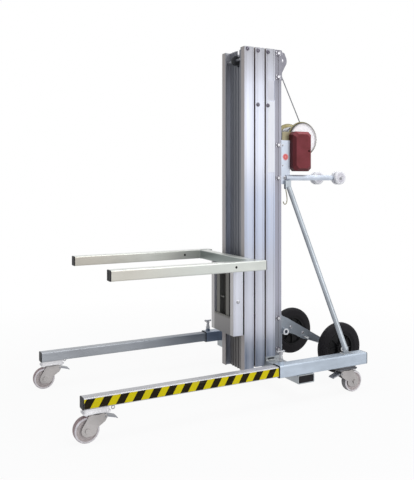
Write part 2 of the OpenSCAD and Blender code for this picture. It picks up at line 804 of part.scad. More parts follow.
module winch_cover() {
    low = [cover_y, cover_z];
    high = [cover_y + cover_l, cover_top];
    start = frame_x + frame_t + 0.3;
    color(dark_red) difference() {
        hull() {
            cover_layer(low, high, start, cover_out - 14, 0);
            cover_layer(low, high, start, cover_out, 14);
        }
        hull() {
            cover_layer(low, high, start - 1, cover_out - 18, 3);
            cover_layer(low, high, start - 1, cover_out - 4, 17);
        }
        rod_x(cover_out - 10, cover_out + 1, cover_y + cover_l - 22, cover_z + 102, 5);
    }
}

// One layer of the cover: its outline with cut corners, drawn in by inset.
module cover_layer(low, high, x0, x1, inset) {
    cut = 16;
    a = [low[0] + inset, low[1] + inset];
    b = [high[0] - inset, high[1] - inset];
    slab_x(x0, x1) polygon([[a[0], a[1] + cut], [a[0] + cut, a[1]], [b[0] - cut, a[1]], [b[0], a[1] + cut],
        [b[0], b[1] - cut], [b[0] - cut, b[1]], [a[0] + cut, b[1]], [a[0], b[1] - cut]]);
}

// Involute gear outline: flank points come from the base circle.
function involute(base, r) = let (a = sqrt(max(r * r / (base * base) - 1, 0))) a * 180 / PI - atan(a);

module gear_outline(teeth, slack) {
    pitch = tooth_m * teeth / 2;
    base = pitch * cos(20);
    root = pitch - 1.25 * tooth_m;
    tip = pitch + 0.95 * tooth_m;
    half = 90 / teeth + involute(base, pitch) - slack / pitch * 90 / PI;
    start = max(root, base);
    polygon([for (k = [0:teeth - 1]) for (p = concat(
        [[root, -half - 0.2]],
        [for (i = [0:3]) let (r = start + (tip - start) * i / 3) [r, -half + involute(base, r)]],
        [for (i = [3:-1:0]) let (r = start + (tip - start) * i / 3) [r, half - involute(base, r)]],
        [[root, half + 0.2]]))
        let (a = p[1] + k * 360 / teeth) [p[0] * cos(a), p[0] * sin(a)]]);
}

module rope_drum() {
    half = drum_w / 2;
    color(yellow_zinc) translate([0, drum_y, drum_z]) rotate([0, 90, 0]) {
        translate([0, 0, -half - 0.5]) cylinder(h = drum_w + 1, r = barrel_r, $fn = 96);
        for (z = [-half - flange_t, half]) translate([0, 0, z]) cylinder(h = flange_t, r = flange_r, $fn = 96);
        translate([0, 0, -frame_x - frame_t - 6]) cylinder(h = 2 * (frame_x + frame_t + 6), r = drum_shaft_r);
        translate([0, 0, half + 1]) cylinder(h = frame_x - half - 1.3, r = 20);
        translate([0, 0, -frame_x + 0.3]) cylinder(h = frame_x - half - 1.3, r = 20);
    }
    color(steel) translate([gear_x, drum_y, drum_z]) rotate([pinion_angle, 0, 0]) rotate([90, 0, 90])
        difference() {
            linear_extrude(gear_w) gear_outline(gear_teeth, 0.3);
            translate([0, 0, gear_w - 3]) difference() {
                cylinder(h = 4, r = gear_web_r, $fn = 96);
                translate([0, 0, -1]) cylinder(h = 6, r = 20);
            }
        }
}

module crank() {
    color(steel) {
        translate([0, pinion_y, pinion_z]) {
            rod_x(crank_x, cover_out - 22, 0, 0, pinion_shaft_r);
            translate([gear_x - 1, 0, 0]) rotate([pinion_angle + 180 + 180 / pinion_teeth, 0, 0])
                rotate([90, 0, 90]) linear_extrude(gear_w + 2) gear_outline(pinion_teeth, 0.3);
            rod_x(frame_x + frame_t + 1, frame_x + frame_t + 13, 0, 0, 19);
            rod_x(crank_x - 4, -frame_x - frame_t - 0.3, 0, 0, 14);
            difference() {
                slab_x(crank_x - crank_t, crank_x) {
                    circle(17);
                    translate([0, -crank_r]) circle(14);
                    translate([-11, -crank_r]) square([22, crank_r]);
                }
            }
            rod_x(crank_x - crank_t - grip_l - 2, crank_x, 0, -crank_r, grip_pin_r);
            rod_x(crank_x - crank_t - grip_l - 6, crank_x - crank_t - grip_l - 0.6, 0, -crank_r, 10);
        }
    }
}

module crank_grip() {
    color(black) translate([crank_x - crank_t - 0.3, pinion_y, pinion_z - crank_r]) rotate([0, -90, 0])
        rotate_extrude() polygon([[grip_pin_r + fit, 0], [grip_r - 3, 0], [grip_r, 5], [grip_r - 1, 24],
            [grip_r - 2, grip_l / 2], [grip_r - 1, grip_l - 24], [grip_r, grip_l - 8],
            [grip_r - 4, grip_l - 0.3], [grip_pin_r + fit, grip_l - 0.3]]);
}

// Rope

// The free run is the outer tangent of the upper layer and the top sheave.
span = [sheave_y - drum_y, sheave_z - drum_z];
span_l = norm(span);
span_angle = atan2(span[1], span[0]);
leave_angle = span_angle - acos((upper_r - sheave_r) / span_l);
leave_dir = [-sin(leave_angle), cos(leave_angle)];
tail_l = 34;

function wound_point(x, r, a) = [x, drum_y + r * cos(a), drum_z + r * sin(a)];

// The rope fills one layer, climbs in half a turn at the far flange and comes
// back as far as the middle of the drum, where it leaves for the top sheave.
climb = 0.5;
total_loops = lower_loops * 1.5 + climb;
lower_x = drum_w / 2 - rope_r - 0.6;
wind_pitch = 2 * lower_x / lower_loops;

function wind_x(n) = n < lower_loops ? lower_x - n * wind_pitch
    : -lower_x + max(n - lower_loops - climb, 0) * wind_pitch;
function wind_r(n) = lower_r + layer_rise * min(max(n - lower_loops, 0) / climb, 1);
function wind_point(n) = wound_point(wind_x(n), wind_r(n), leave_angle + (n - total_loops) * 360);

wind_points = concat(
    [for (i = [0:total_loops * rings]) wind_point(i / rings)],
    [for (s = [rope_d, tail_l / 2, tail_l]) wound_point(0, upper_r, leave_angle) + s * [0, leave_dir[0], leave_dir[1]]]);

function unit(v) = v / norm(v);

// A tube of flat-sided rings swept along a list of points.
module swept_tube(points, r, sides, start_dir, end_dir) {
    last = len(points) - 1;
    dirs = [for (i = [0:last]) i == 0 ? start_dir : i == last ? end_dir
        : unit(unit(points[i + 1] - points[i]) + unit(points[i] - points[i - 1]))];
    verts = [for (i = [0:last]) let (across = unit(cross(dirs[i], cross([1, 0, 0], dirs[i]))),
        up = cross(across, dirs[i])) for (k = [0:sides - 1])
            points[i] + r * (across * cos(k * 360 / sides) + up * sin(k * 360 / sides))];
    faces = concat(
        [[for (k = [0:sides - 1]) k]],
        [for (i = [0:last - 1]) for (k = [0:sides - 1]) let (a = i * sides + k, b = i * sides + (k + 1) % sides)
            each [[a, a + sides, b], [b, a + sides, b + sides]]],
        [[for (k = [sides - 1:-1:0]) last * sides + k]]);
    polyhedron(verts, faces);
}

module rope_winding() {
    color(rope_grey) swept_tube(wind_points, rope_r, 6,
        unit(wind_points[1] - wind_points[0]), [0, leave_dir[0], leave_dir[1]]);
}

// The free run from the drum over the top sheave and down into the mast.
run_l = sqrt(span_l * span_l - pow(upper_r - sheave_r, 2));
run_start = wound_point(0, upper_r, leave_angle);
rope_foot = sheave_z - 120;
rope_points = concat(
    [for (s = [tail_l, 90, 150, 210, 270, 330, run_l - 3]) run_start + s * [0, leave_dir[0], leave_dir[1]]],
    [for (a = [leave_angle:12:180]) [0, sheave_y + sheave_r * cos(a), sheave_z + sheave_r * sin(a)]],
    [for (z = [sheave_z - 4, sheave_z - 60, rope_foot]) [0, sheave_y - sheave_r, z]]);

module lift_rope() {
    color(rope_grey) swept_tube(rope_points, rope_r, 8, [0, leave_dir[0], leave_dir[1]], [0, 0, -1]);
}

// Least gap of the winding to itself, measured between its points.
wind_gap = min([for (i = [0:4:total_loops * rings]) for (j = [i + rings / 2:total_loops * rings])
    norm(wind_points[i] - wind_points[j])]) - rope_d;
echo(least_gap_of_winding = wind_gap);

cross_tube();
frame_plugs();
side_beam();  // left_side_beam
mirror([1, 0, 0]) side_beam();  // right_side_beam
mast_foot();
leg();  // left_leg
mirror([1, 0, 0]) leg();  // right_leg
leg_cap();  // left_leg_cap
mirror([1, 0, 0]) leg_cap();  // right_leg_cap
leg_clamp();  // left_leg_clamp
mirror([1, 0, 0]) leg_clamp();  // right_leg_clamp
at_caster(1, 1) caster_plate(leg_z);  // front_left_caster_plate
at_caster(-1, 1) caster_plate(leg_z);  // front_right_caster_plate
at_caster(1, -1) caster_plate(beam_z);  // rear_left_caster_plate
at_caster(-1, -1) caster_plate(beam_z);  // rear_right_caster_plate
at_caster(1, 1) caster_fork();  // front_left_caster_fork
at_caster(-1, 1) caster_fork();  // front_right_caster_fork
at_caster(1, -1) caster_fork();  // rear_left_caster_fork
at_caster(-1, -1) caster_fork();  // rear_right_caster_fork
at_caster(1, 1) caster_wheel();  // front_left_caster_wheel
at_caster(-1, 1) caster_wheel();  // front_right_caster_wheel
at_caster(1, -1) caster_wheel();  // rear_left_caster_wheel
at_caster(-1, -1) caster_wheel();  // rear_right_caster_wheel
at_caster(1, 1) brake_pedal();  // front_left_brake_pedal
at_caster(-1, 1) brake_pedal();  // front_right_brake_pedal
at_caster(1, -1) brake_pedal();  // rear_left_brake_pedal
at_caster(-1, -1) brake_pedal();  // rear_right_brake_pedal
wheel_carrier();
carrier_arms();
transport_axle();
transport_hub();  // left_transport_hub
mirror([1, 0, 0]) transport_hub();  // right_transport_hub
transport_tyre();  // left_transport_tyre
mirror([1, 0, 0]) transport_tyre();  // right_transport_tyre
braces();
base_mast();
mid_mast();
inner_mast();
shoe_set(mid_y, base_foot + 8);  // mid_mast_shoes
shoe_set(inner_y, mid_foot + 10);  // inner_mast_shoes
rail_clamps();
top_pulley_bracket();
sheave(sheave_y, sheave_z, sheave_r);  // top_sheave
sheave(mid_y + stage_pin_y, stage_pin_z, stage_sheave_r);  // mid_sheave
sheave(inner_y + stage_pin_y, stage_pin_z, stage_sheave_r);  // inner_sheave
carriage();
shoe_set(carriage_y, carriage_foot + 1);  // carriage_shoes
fork_frame();
fork_caps();
winch_bracket();
loading_roller();  // left_loading_roller
mirror([1, 0, 0]) loading_roller();  // right_loading_roller
winch_frame();
winch_cover();
rope_drum();
rope_winding();
lift_rope();
crank();
crank_grip();
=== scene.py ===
import math

import bmesh
import bpy
from mathutils import Euler, Matrix, Vector


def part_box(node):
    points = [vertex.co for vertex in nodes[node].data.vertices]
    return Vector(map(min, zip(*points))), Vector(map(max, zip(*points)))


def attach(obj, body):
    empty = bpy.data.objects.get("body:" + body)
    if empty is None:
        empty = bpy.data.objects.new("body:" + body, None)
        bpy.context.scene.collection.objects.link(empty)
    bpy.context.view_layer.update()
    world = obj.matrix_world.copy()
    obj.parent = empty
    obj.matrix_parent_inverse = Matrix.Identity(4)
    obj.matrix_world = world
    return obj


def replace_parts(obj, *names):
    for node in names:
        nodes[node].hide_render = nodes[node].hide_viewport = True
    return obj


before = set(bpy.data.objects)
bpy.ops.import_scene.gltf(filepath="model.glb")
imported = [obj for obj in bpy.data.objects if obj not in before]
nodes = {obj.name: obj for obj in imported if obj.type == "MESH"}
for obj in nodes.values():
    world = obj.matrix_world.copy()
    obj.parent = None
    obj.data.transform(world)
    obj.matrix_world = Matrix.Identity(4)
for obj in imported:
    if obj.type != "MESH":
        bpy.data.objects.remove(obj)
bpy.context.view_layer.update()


# Studio: a plain pale floor and world with large soft lamps above and beside.
# The camera stands 2.7 m beside and 1.4 m ahead of the hoist, level at 1 m.
camera_data = bpy.data.cameras.new("camera")
camera_data.lens = 46.9
camera_data.shift_y = -0.1196
camera = bpy.data.objects.new("camera", camera_data)
camera.location = (2.683, -1.389, 0.990)
camera.rotation_euler = Euler((math.radians(90), 0, math.radians(62.7)))
bpy.context.scene.collection.objects.link(camera)
bpy.context.scene.camera = camera
bpy.context.scene.view_settings.view_transform = "Standard"


class Value:
    """A socket of a node tree, on which sums, products and comparisons add Math nodes."""

    def __init__(self, shading, socket):
        self.shading = shading
        self.socket = socket

    def math(self, operation, a, b=0.0):
        return self.shading.node("ShaderNodeMath", {"operation": operation}, {0: a, 1: b})

    def __add__(self, other):
        return self.math("ADD", self, other)

    def __radd__(self, other):
        return self.math("ADD", other, self)

    def __sub__(self, other):
        return self.math("SUBTRACT", self, other)

    def __rsub__(self, other):
        return self.math("SUBTRACT", other, self)

    def __mul__(self, other):
        return self.math("MULTIPLY", self, other)

    def __rmul__(self, other):
        return self.math("MULTIPLY", other, self)

    def __truediv__(self, other):
        return self.math("DIVIDE", self, other)

    def __mod__(self, other):
        return self.math("FLOORED_MODULO", self, other)

    def __pow__(self, other):
        return self.math("POWER", self, other)

    def __gt__(self, other):
        return self.math("GREATER_THAN", self, other)

    def __lt__(self, other):
        return self.math("LESS_THAN", self, other)

    def __abs__(self):
        return self.math("ABSOLUTE", self)


class Shading:
    """A node tree with one way to add a node: its type, settings and sockets."""

    def __init__(self, tree):
        self.tree = tree

    def node(self, kind, settings=None, sockets=None, out=0):
        made = self.tree.nodes.new(kind)
        for key, setting in (settings or {}).items():
            setattr(made, key, setting)
        for key, given in (sockets or {}).items():
            self.feed(made.inputs[key], given)
        return Value(self, made.outputs[out])

    def feed(self, socket, given):
        if isinstance(given, Value):
            self.tree.links.new(given.socket, socket)
        elif isinstance(given, tuple) and len(given) == 3 and socket.type == "RGBA":
            socket.default_value = (*given, 1)
        else:
            socket.default_value = given

    def mix(self, factor, first, second):
        return self.node("ShaderNodeMix", {"data_type": "RGBA"}, {0: factor, 6: first, 7: second}, 2)

    def place(self, scale):
        """The point in the scene, stretched along each axis."""
        at = self.node("ShaderNodeTexCoord", out=3)
        return self.node("ShaderNodeMapping", None, {"Vector": at, "Scale": scale})

    def split(self, out):
        """One output of Texture Coordinate as x, y and z."""
        at = self.node("ShaderNodeTexCoord", out=out)
        parts = self.node("ShaderNodeSeparateXYZ", None, {0: at}).socket.node.outputs
        return [Value(self, part) for part in parts]

    def axes(self):
        """The point's own place."""
        return self.split(3)

    def facing(self):
        """The direction that the surface faces."""
        return self.split(1)

    def noise(self, scale, detail=2.0, stretch=(1, 1, 1)):
        sockets = {"Vector": self.place(stretch), "Scale": scale, "Detail": detail}
        return self.node("ShaderNodeTexNoise", None, sockets)

    def ramp(self, given, low, high, first=0.0, second=1.0):
        """From first where given is low to second where it is high."""
        sockets = {"Value": given, "From Min": low, "From Max": high, "To Min": first, "To Max": second}
        return self.node("ShaderNodeMapRange", {"clamp": True}, sockets)

    def distance(self, x, y, z, centre):
        """How far a point is from centre, by the axes that aren't None there."""
        total = None
        for value, middle in zip((x, y, z), centre):
            if middle is not None:
                square = (value - middle) * (value - middle)
                total = square if total is None else total + square
        return total ** 0.5

    def bump(self, height, strength, distance=0.001):
        sockets = {"Height": height, "Strength": strength, "Distance": distance}
        return self.node("ShaderNodeBump", None, sockets)


class Finish(Shading):
    """One material on a Principled shader."""

    def __init__(self, name):
        self.material = bpy.data.materials.new(name)
        self.material.use_nodes = True
        super().__init__(self.material.node_tree)
        self.shader = self.tree.nodes["Principled BSDF"]

    def paint(self, **sockets):
        for key, given in sockets.items():
            self.feed(self.shader.inputs[key.replace("_", " ").title().replace("Ior", "IOR")], given)
        return self


def seen(shading):
    """1 for the rays by which the camera sees a thing: straight, mirrored or through glass."""
    rays = shading.node("ShaderNodeLightPath").socket.node.outputs
    kinds = [Value(shading, rays[f"Is {kind} Ray"]) for kind in ("Camera", "Glossy", "Transmission")]
    return kinds[0] + kinds[1] + kinds[2]


floor_size, floor_tone, white = 60, (0.62, 0.62, 0.63), (1, 1, 1)
near_end, far_end, near_white = 0.9, 2.4, 0.93
floor_finish = Finish("studio_floor")
floor_finish.paint(base_color=floor_tone, roughness=0.9, metallic=0.0)
away = floor_finish.distance(*floor_finish.axes(), (0, 0, None))
clean = seen(floor_finish) * floor_finish.ramp(away, near_end, far_end, near_white, 1.0)
glow = floor_finish.node("ShaderNodeEmission", None, {"Color": white, "Strength": 1.0})
mixed = floor_finish.node("ShaderNodeMixShader", None,
                          {0: clean, 1: Value(floor_finish, floor_finish.shader.outputs[0]), 2: glow})
floor_finish.tree.links.new(mixed.socket, floor_finish.tree.nodes["Material Output"].inputs[0])

bpy.ops.object.select_all(action="DESELECT")
bpy.ops.mesh.primitive_plane_add(size=floor_size, location=(0, 0, 0))
floor = bpy.context.object
floor.name = "studio_floor"
floor.data.materials.append(floor_finish.material)

sky_tone, sky_light = (0.92, 0.94, 1.0), 0.42
world = bpy.data.worlds.new("studio")
bpy.context.scene.world = world
world.use_nodes = True
sky = Shading(world.node_tree)
plain = sky.node("ShaderNodeBackground", None, {"Color": sky_tone, "Strength": sky_light})
bright = sky.node("ShaderNodeBackground", None, {"Color": white, "Strength": 1.0})
sky_mix = sky.node("ShaderNodeMixShader", None, {0: seen(sky), 1: plain, 2: bright})
sky.tree.links.new(sky_mix.socket, sky.tree.nodes["World Output"].inputs[0])


def lamp(name, place, aim, size, watts):
    """A rectangular lamp at a place that faces its aim."""
    data = bpy.data.lights.new(name, "AREA")
    data.shape = "RECTANGLE"
    data.size, data.size_y = size
    data.energy = watts
    made = bpy.data.objects.new(name, data)
    made.location = place
    made.rotation_euler = (Vector(aim) - Vector(place)).to_track_quat("-Z", "Y").to_euler()
    bpy.context.scene.collection.objects.link(made)


lamp("top_softbox", (0.7, 0.9, 4.3), (0, 0.1, 0.6), (3.0, 3.0), 105)
lamp("side_softbox", (4.4, 1.3, 1.9), (0, 0.1, 0.9), (2.6, 2.6), 62)

# Base frame: side beams, cross tube and mast foot of drawn steel, welded and
# then zinc plated. The plating is pale grey with soft clouds, fine draw lines
# along each tube and a few dull specks. Ripple beads follow the seams.
ends = ((1, "left"), (-1, "right"))
beam_tone, beam_shaded_copy_tone, cross_tone = (0.50, 0.57, 0.655), (0.34, 0.39, 0.46), (0.46, 0.49, 0.51)
bead_tone, bead_r = (0.46, 0.47, 0.47), 0.0030
cross_low, cross_front, cross_back, beam_inside = 0.1245, 0.262, 0.344, 0.3255
beam_top, brace_front, brace_back = 0.1815, 0.5335, 0.5825


def dress(finish, *names):
    """Give the finish to each CAD node of these names."""
    for name in names:
        slots = nodes[name].data.materials
        if not slots:
            slots.append(finish.material)
        for k in range(len(slots)):
            slots[k] = finish.material


def darker(tone, part):
    """The tone times part, which may be over 1."""
    return tuple(part * channel for channel in tone)


def zinc(name, tone, run, dull=0.36, shine=0.45, stain=0.35, tint=None):
    """Zinc plating of one tone, with draw lines that run along x, y or z, and a tint on its places."""
    finish = Finish(name)
    cloud = finish.noise(9, 3, tuple(0.35 if axis == run else 1.0 for axis in "xyz"))
    line = finish.noise(900 if run else 160, 2, tuple(0.02 if axis == run else 1.0 for axis in "xyz"))
    speck = finish.ramp(finish.noise(330, 1), 0.66, 0.74)
    blotch = finish.ramp(finish.noise(26, 4, tuple(0.5 if axis == run else 1.0 for axis in "xyz")), 0.5, 0.72)
    shade = finish.mix(finish.ramp(cloud, 0.32, 0.68), darker(tone, 0.82), darker(tone, 1.12))
    shade = finish.mix(blotch * stain, shade, darker(tone, 0.76))
    shade = finish.mix(finish.ramp(line, 0.35, 0.65, 0.0, 0.18), shade, darker(tone, 0.7))
    shade = finish.mix(speck * stain, shade, darker(tone, 0.5))
    if tint:
        shade = tint(finish, shade)
    finish.paint(base_color=shade, metallic=shine, roughness=dull - 0.06 + 0.14 * cloud + 0.1 * speck,
                 normal=finish.bump(line * 0.6 + speck * 0.4, 0.06, 0.0003))
    return finish


def inner_side_painted_shade(finish, shade):
    """Painted shade, darker and bluer, on the side that faces the other beam."""
    return finish.mix(finish.ramp(finish.facing()[0], 0.5, 0.9) * 0.75, shade, (0.075, 0.11, 0.18))


def start(add, **settings):
    """Add one primitive with nothing else selected, and return it."""
    bpy.ops.object.select_all(action="DESELECT")
    add(**settings)
    return bpy.context.object


def fix():
    """Put the active piece's place, turn and size into its mesh."""
    bpy.ops.object.transform_apply(location=True, rotation=True, scale=True)


def settle(piece, name, body, finish, smooth=30):
    """Give the piece its place, name, body and finish."""
    bpy.ops.object.select_all(action="DESELECT")
    piece.select_set(True)
    bpy.context.view_layer.objects.active = piece
    fix()
    bpy.ops.object.shade_smooth_by_angle(angle=math.radians(smooth))
    piece.name = piece.data.name = name
    piece.data.materials.clear()
    piece.data.materials.append(finish.material)
    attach(piece, body)
    return piece


def spread(pattern, name, body, finish, spots):
    """Copy a pattern that stands on the origin along z to each spot and direction, as one piece."""
    whole = bmesh.new()
    for place, way, *grow in spots:
        one = bmesh.new()
        one.from_mesh(pattern.data)
        turn = Vector(way).to_track_quat("Z", "Y").to_matrix().to_4x4()
        size = Matrix.Scale(grow[0] if grow else 1.0, 4)
        one.transform(Matrix.Translation(Vector(place)) @ turn @ size)
        held = bpy.data.meshes.new("held")
        one.to_mesh(held)
        whole.from_mesh(held)
        bpy.data.meshes.remove(held)
        one.free()
    mesh = bpy.data.meshes.new(name)
    whole.to_mesh(mesh)
    whole.free()
    piece = bpy.data.objects.new(name, mesh)
    bpy.context.scene.collection.objects.link(piece)
    return settle(piece, name, body, finish)


def drops(first, last, step=0.0030):
    """Places of weld ripples from one end of a seam to the other."""
    first, last = Vector(first), Vector(last)
    count = max(2, int((last - first).length / step))
    return [(first.lerp(last, k / count), last - first) for k in range(count + 1)]


dress(zinc("zinc_side_beams", beam_tone, "y"), "left_side_beam")
# The right beam: a darker painted-shade copy of the beam plating, with more painted shade on its inner side.
dress(zinc("zinc_right_beam", beam_shaded_copy_tone, "y", tint=inner_side_painted_shade), "right_side_beam")
dress(zinc("zinc_cross_tube", cross_tone, "x"), "cross_tube", "mast_foot")
ripple = start(bpy.ops.mesh.primitive_uv_sphere_add, segments=8, ring_count=5, radius=bead_r)
ripple.scale = (1.0, 1.0, 0.75)
fix()
weld_zinc = zinc("weld_beads", bead_tone, "z", 0.42, 0.5)
seams = []
for side, end in ends:
    seams += drops((side * beam_inside, cross_front, cross_low), (side * beam_inside, cross_back, cross_low))
    seams += drops((side * 0.1155, cross_front, 0.1255), (side * 0.1155, cross_back, 0.1255))
    for y in (brace_front, brace_back):
        seams += drops((side * 0.335, y, beam_top), (side * 0.367, y, beam_top))
    seams += drops((side * 0.3335, 0.536, beam_top), (side * 0.3335, 0.580, beam_top))
spread(ripple, "base_weld_beads", "base", weld_zinc, seams)


# End plugs of the frame: black polyethylene, pressed into the ends of the
# tubes, with a fine moulded grain and paler scuffs.
plug_tone, plug_scuff = (0.014, 0.013, 0.015), (0.035, 0.035, 0.04)


def moulded(name, tone, scuff, dull=0.5, gloss=0.14):
    """Moulded plastic or rubber of one tone, with scuffs of another."""
    finish = Finish(name)
    grain = finish.noise(700, 2)
    worn = finish.ramp(finish.noise(45, 4), 0.55, 0.75)
    shade = finish.mix(finish.noise(14, 2), darker(tone, 0.85), darker(tone, 1.15))
    shade = finish.mix(worn * 0.6, shade, scuff)
    finish.paint(base_color=shade, metallic=0.0, roughness=dull + 0.15 * worn, specular_ior_level=gloss,
                 normal=finish.bump(grain, 0.2, 0.0003))
    return finish


plug_black = moulded("black_plugs", plug_tone, plug_scuff)
dress(plug_black, "frame_plugs")


# Slide collar at the mouth of each side beam: a black moulded ring that is
# pressed on the cut end and keeps the leg from scraping.
collar_w, collar_thick, collar_round, collar_wall = 0.0546, 0.0024, 0.006, 0.0042
leg_middle = 0.1525
beam_low, beam_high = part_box("left_side_beam")


def choose(piece, kind, test):
    """Edit mode, with the faces or edges selected that pass the test."""
    bpy.ops.object.mode_set(mode="EDIT")
    bpy.ops.mesh.select_mode(type=kind)
    bpy.ops.mesh.select_all(action="DESELECT")
    mesh = bmesh.from_edit_mesh(piece.data)
    for part in (mesh.faces if kind == "FACE" else mesh.edges):
        part.select_set(test(part))
    bmesh.update_edit_mesh(piece.data)


def leave():
    bpy.ops.object.mode_set(mode="OBJECT")


collar_black = moulded("black_collar", (0.022, 0.022, 0.026), (0.05, 0.05, 0.055), 0.45)
for side, end in ends:
    ring = start(bpy.ops.mesh.primitive_cube_add, size=1,
                 location=(side * (beam_low[0] + beam_high[0]) / 2, beam_low[1] - collar_thick / 2, leg_middle))
    ring.scale = (collar_w, collar_thick, collar_w)
    fix()
    choose(ring, "EDGE", lambda edge: abs(edge.verts[0].co.y - edge.verts[1].co.y) > 0.8 * collar_thick)
    bpy.ops.mesh.bevel(offset=collar_round, segments=4)
    choose(ring, "FACE", lambda face: abs(face.normal.y) > 0.9)
    bpy.ops.mesh.inset(thickness=collar_wall)
    bpy.ops.mesh.bridge_edge_loops()
    leave()
    settle(ring, f"{end}_beam_collar", "base", collar_black)


# Sliding legs: square steel tube, zinc plated a little greyer than the beams,
# with black end caps. They slide in the side beams. The right leg's darker
# tone is painted shade, and more painted shade darkens it towards its clamp.
leg_tone, right_leg_shaded_copy_tone, leg_painted_shade = (0.50, 0.50, 0.52), (0.38, 0.40, 0.43), (0.13, 0.155, 0.19)


def rear_painted_shade(finish, shade):
    """Painted shade, darker and bluer towards the beam."""
    return finish.mix(finish.ramp(finish.axes()[1], -0.42, 0.10) * 0.7, shade, leg_painted_shade)


dress(zinc("zinc_legs", leg_tone, "y"), "left_leg")
# The right leg: a darker painted-shade copy of the leg plating, with more painted shade towards the beam.
dress(zinc("zinc_right_leg", right_leg_shaded_copy_tone, "y", tint=rear_painted_shade), "right_leg")
dress(plug_black, "left_leg_cap", "right_leg_cap")


# Hazard tape on the outer face of each leg: vinyl film, yellow with black
# slanting bars, stuck on between the rounded edges from the cap to the beam.
tape_yellow, tape_black, tape_worn = (0.74, 0.62, 0.006), (0.016, 0.011, 0.003), (0.34, 0.33, 0.28)
bar_pitch, bar_w, bar_slope, bar_shift = 0.0685, 0.0349, 0.60, 0.8123
tape_rear, tape_h, tape_thick = 0.159, 0.0368, 0.00022
tape = Finish("hazard_tape")
tape_y, tape_z = tape.axes()[1:]
bar = ((tape_y - bar_slope * tape_z + bar_shift) % bar_pitch) < bar_w
rub = tape.ramp(tape.noise(38, 4, (1, 0.3, 1)), 0.62, 0.76)
line = tape.ramp(tape.noise(420, 2, (1, 0.1, 1)), 0.62, 0.7)
print_shade = tape.mix(bar, tape_yellow, tape_black)
print_shade = tape.mix(rub * 0.16 + line * 0.10, print_shade, tape_worn)
tape.paint(base_color=print_shade, specular_ior_level=0.08, roughness=0.34 + 0.2 * rub,
           normal=tape.bump(tape.noise(160, 3), 0.08, 0.0003))
leg_low, leg_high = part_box("left_leg")
for side, end in ends:
    film = start(bpy.ops.mesh.primitive_cube_add, size=1,
                 location=(side * (leg_high[0] + 0.00008), (leg_low[1] + tape_rear) / 2, leg_middle))
    film.scale = (tape_thick, tape_rear - leg_low[1] - 0.001, tape_h)
    fix()
    choose(film, "EDGE", lambda edge: abs(edge.verts[0].co.x - edge.verts[1].co.x) > 0.0001)
    bpy.ops.mesh.bevel(offset=0.0012, segments=3)
    leave()
    settle(film, f"hazard_tape_{end}_leg", f"{end}_leg", tape)


# Leg clamps: a plated screw with a tommy bar in the top of each side beam. A
# coil spring under the bar keeps the screw from loosening.
clamp_tone, clamp_x, clamp_y = (0.42, 0.43, 0.45), 0.354, 0.184
spring_r, spring_wire, spring_low, spring_h = 0.0082, 0.0011, 0.2236, 0.0072
spring_turns, spring_points = 3.2, 72


def bend_wire(name, kind, points, radius, fineness):
    """A round wire along the points, as a mesh."""
    curve = bpy.data.curves.new(name, "CURVE")
    curve.dimensions = "3D"
    curve.bevel_depth = radius
    curve.bevel_resolution = fineness
    curve.use_fill_caps = kind == "NURBS"
    line = curve.splines.new(kind)
    line.points.add(len(points) - 1)
    for point, place in zip(line.points, points):
        point.co = (*place, 1)
    if kind == "NURBS":
        line.use_endpoint_u = True
        line.order_u = 4
        line.resolution_u = 8
    wire_piece = bpy.data.objects.new(name, curve)
    bpy.context.scene.collection.objects.link(wire_piece)
    bpy.ops.object.select_all(action="DESELECT")
    wire_piece.select_set(True)
    bpy.context.view_layer.objects.active = wire_piece
    bpy.ops.object.convert(target="MESH")
    return bpy.context.object


dress(zinc("plated_clamps", clamp_tone, "z", 0.28), "left_leg_clamp", "right_leg_clamp")
bolt_steel = zinc("bolt_zinc", (0.50, 0.50, 0.53), "z", 0.26, 0.8)
for side, end in ends:
    coil = []
    for k in range(spring_points + 1):
        turn = 2 * math.pi * spring_turns * k / spring_points
        coil.append((side * clamp_x + spring_r * math.cos(turn), clamp_y + spring_r * math.sin(turn),
                     spring_low + spring_h * k / spring_points))
    spring = bend_wire("clamp_spring", "POLY", coil, spring_wire, 2)
    settle(spring, f"clamp_spring_{end}", f"{end}_leg_clamp", bolt_steel)


# Casters: pressed and plated fork and plate, plated brake pedal and a cast
# nylon wheel with a darker tread. A black dust seal lies between plate and
# crown, and a plated eye is welded under the leg behind each front plate.
caster_tone, pedal_tone = (0.50, 0.475, 0.465), (0.34, 0.35, 0.38)
# The front plates' near white tone is painted light. The dark rear plates and the near black rear treads are
# painted shade.
plate_painted_light_tone, rear_plate_painted_shade = (0.96, 0.95, 0.96), (0.16, 0.162, 0.175)
wheel_hub_tone, wheel_tone, wheel_rim_tone = (0.54, 0.49, 0.48), (0.60, 0.54, 0.53), (0.86, 0.83, 0.86)
wheel_stain, tread_tone, rear_tread_painted_shade = (0.33, 0.29, 0.28), (0.24, 0.12, 0.12), (0.03, 0.028, 0.03)
seal_r, seal_thick, seal_z = 0.0285, 0.0013, 0.1096
eye_r, eye_wire, eye_back, eye_out, eye_z = 0.0062, 0.0022, 0.0660, 0.012, 0.1215
caster_zinc = zinc("plated_caster_steel", caster_tone, "", 0.3, 0.45, 0.15)
lit_plate_zinc = zinc("plated_caster_plates_painted_light", plate_painted_light_tone, "", 0.34, 0.12, 0.05)
shaded_zinc = zinc("plated_rear_plates_painted_shade", rear_plate_painted_shade, "", 0.34, 0.3, 0.1)
pedal_steel = zinc("plated_pedals", pedal_tone, "", 0.34, 0.45, 0.2)
seal_rubber = moulded("caster_seals", (0.020, 0.018, 0.020), (0.05, 0.05, 0.05), 0.5)
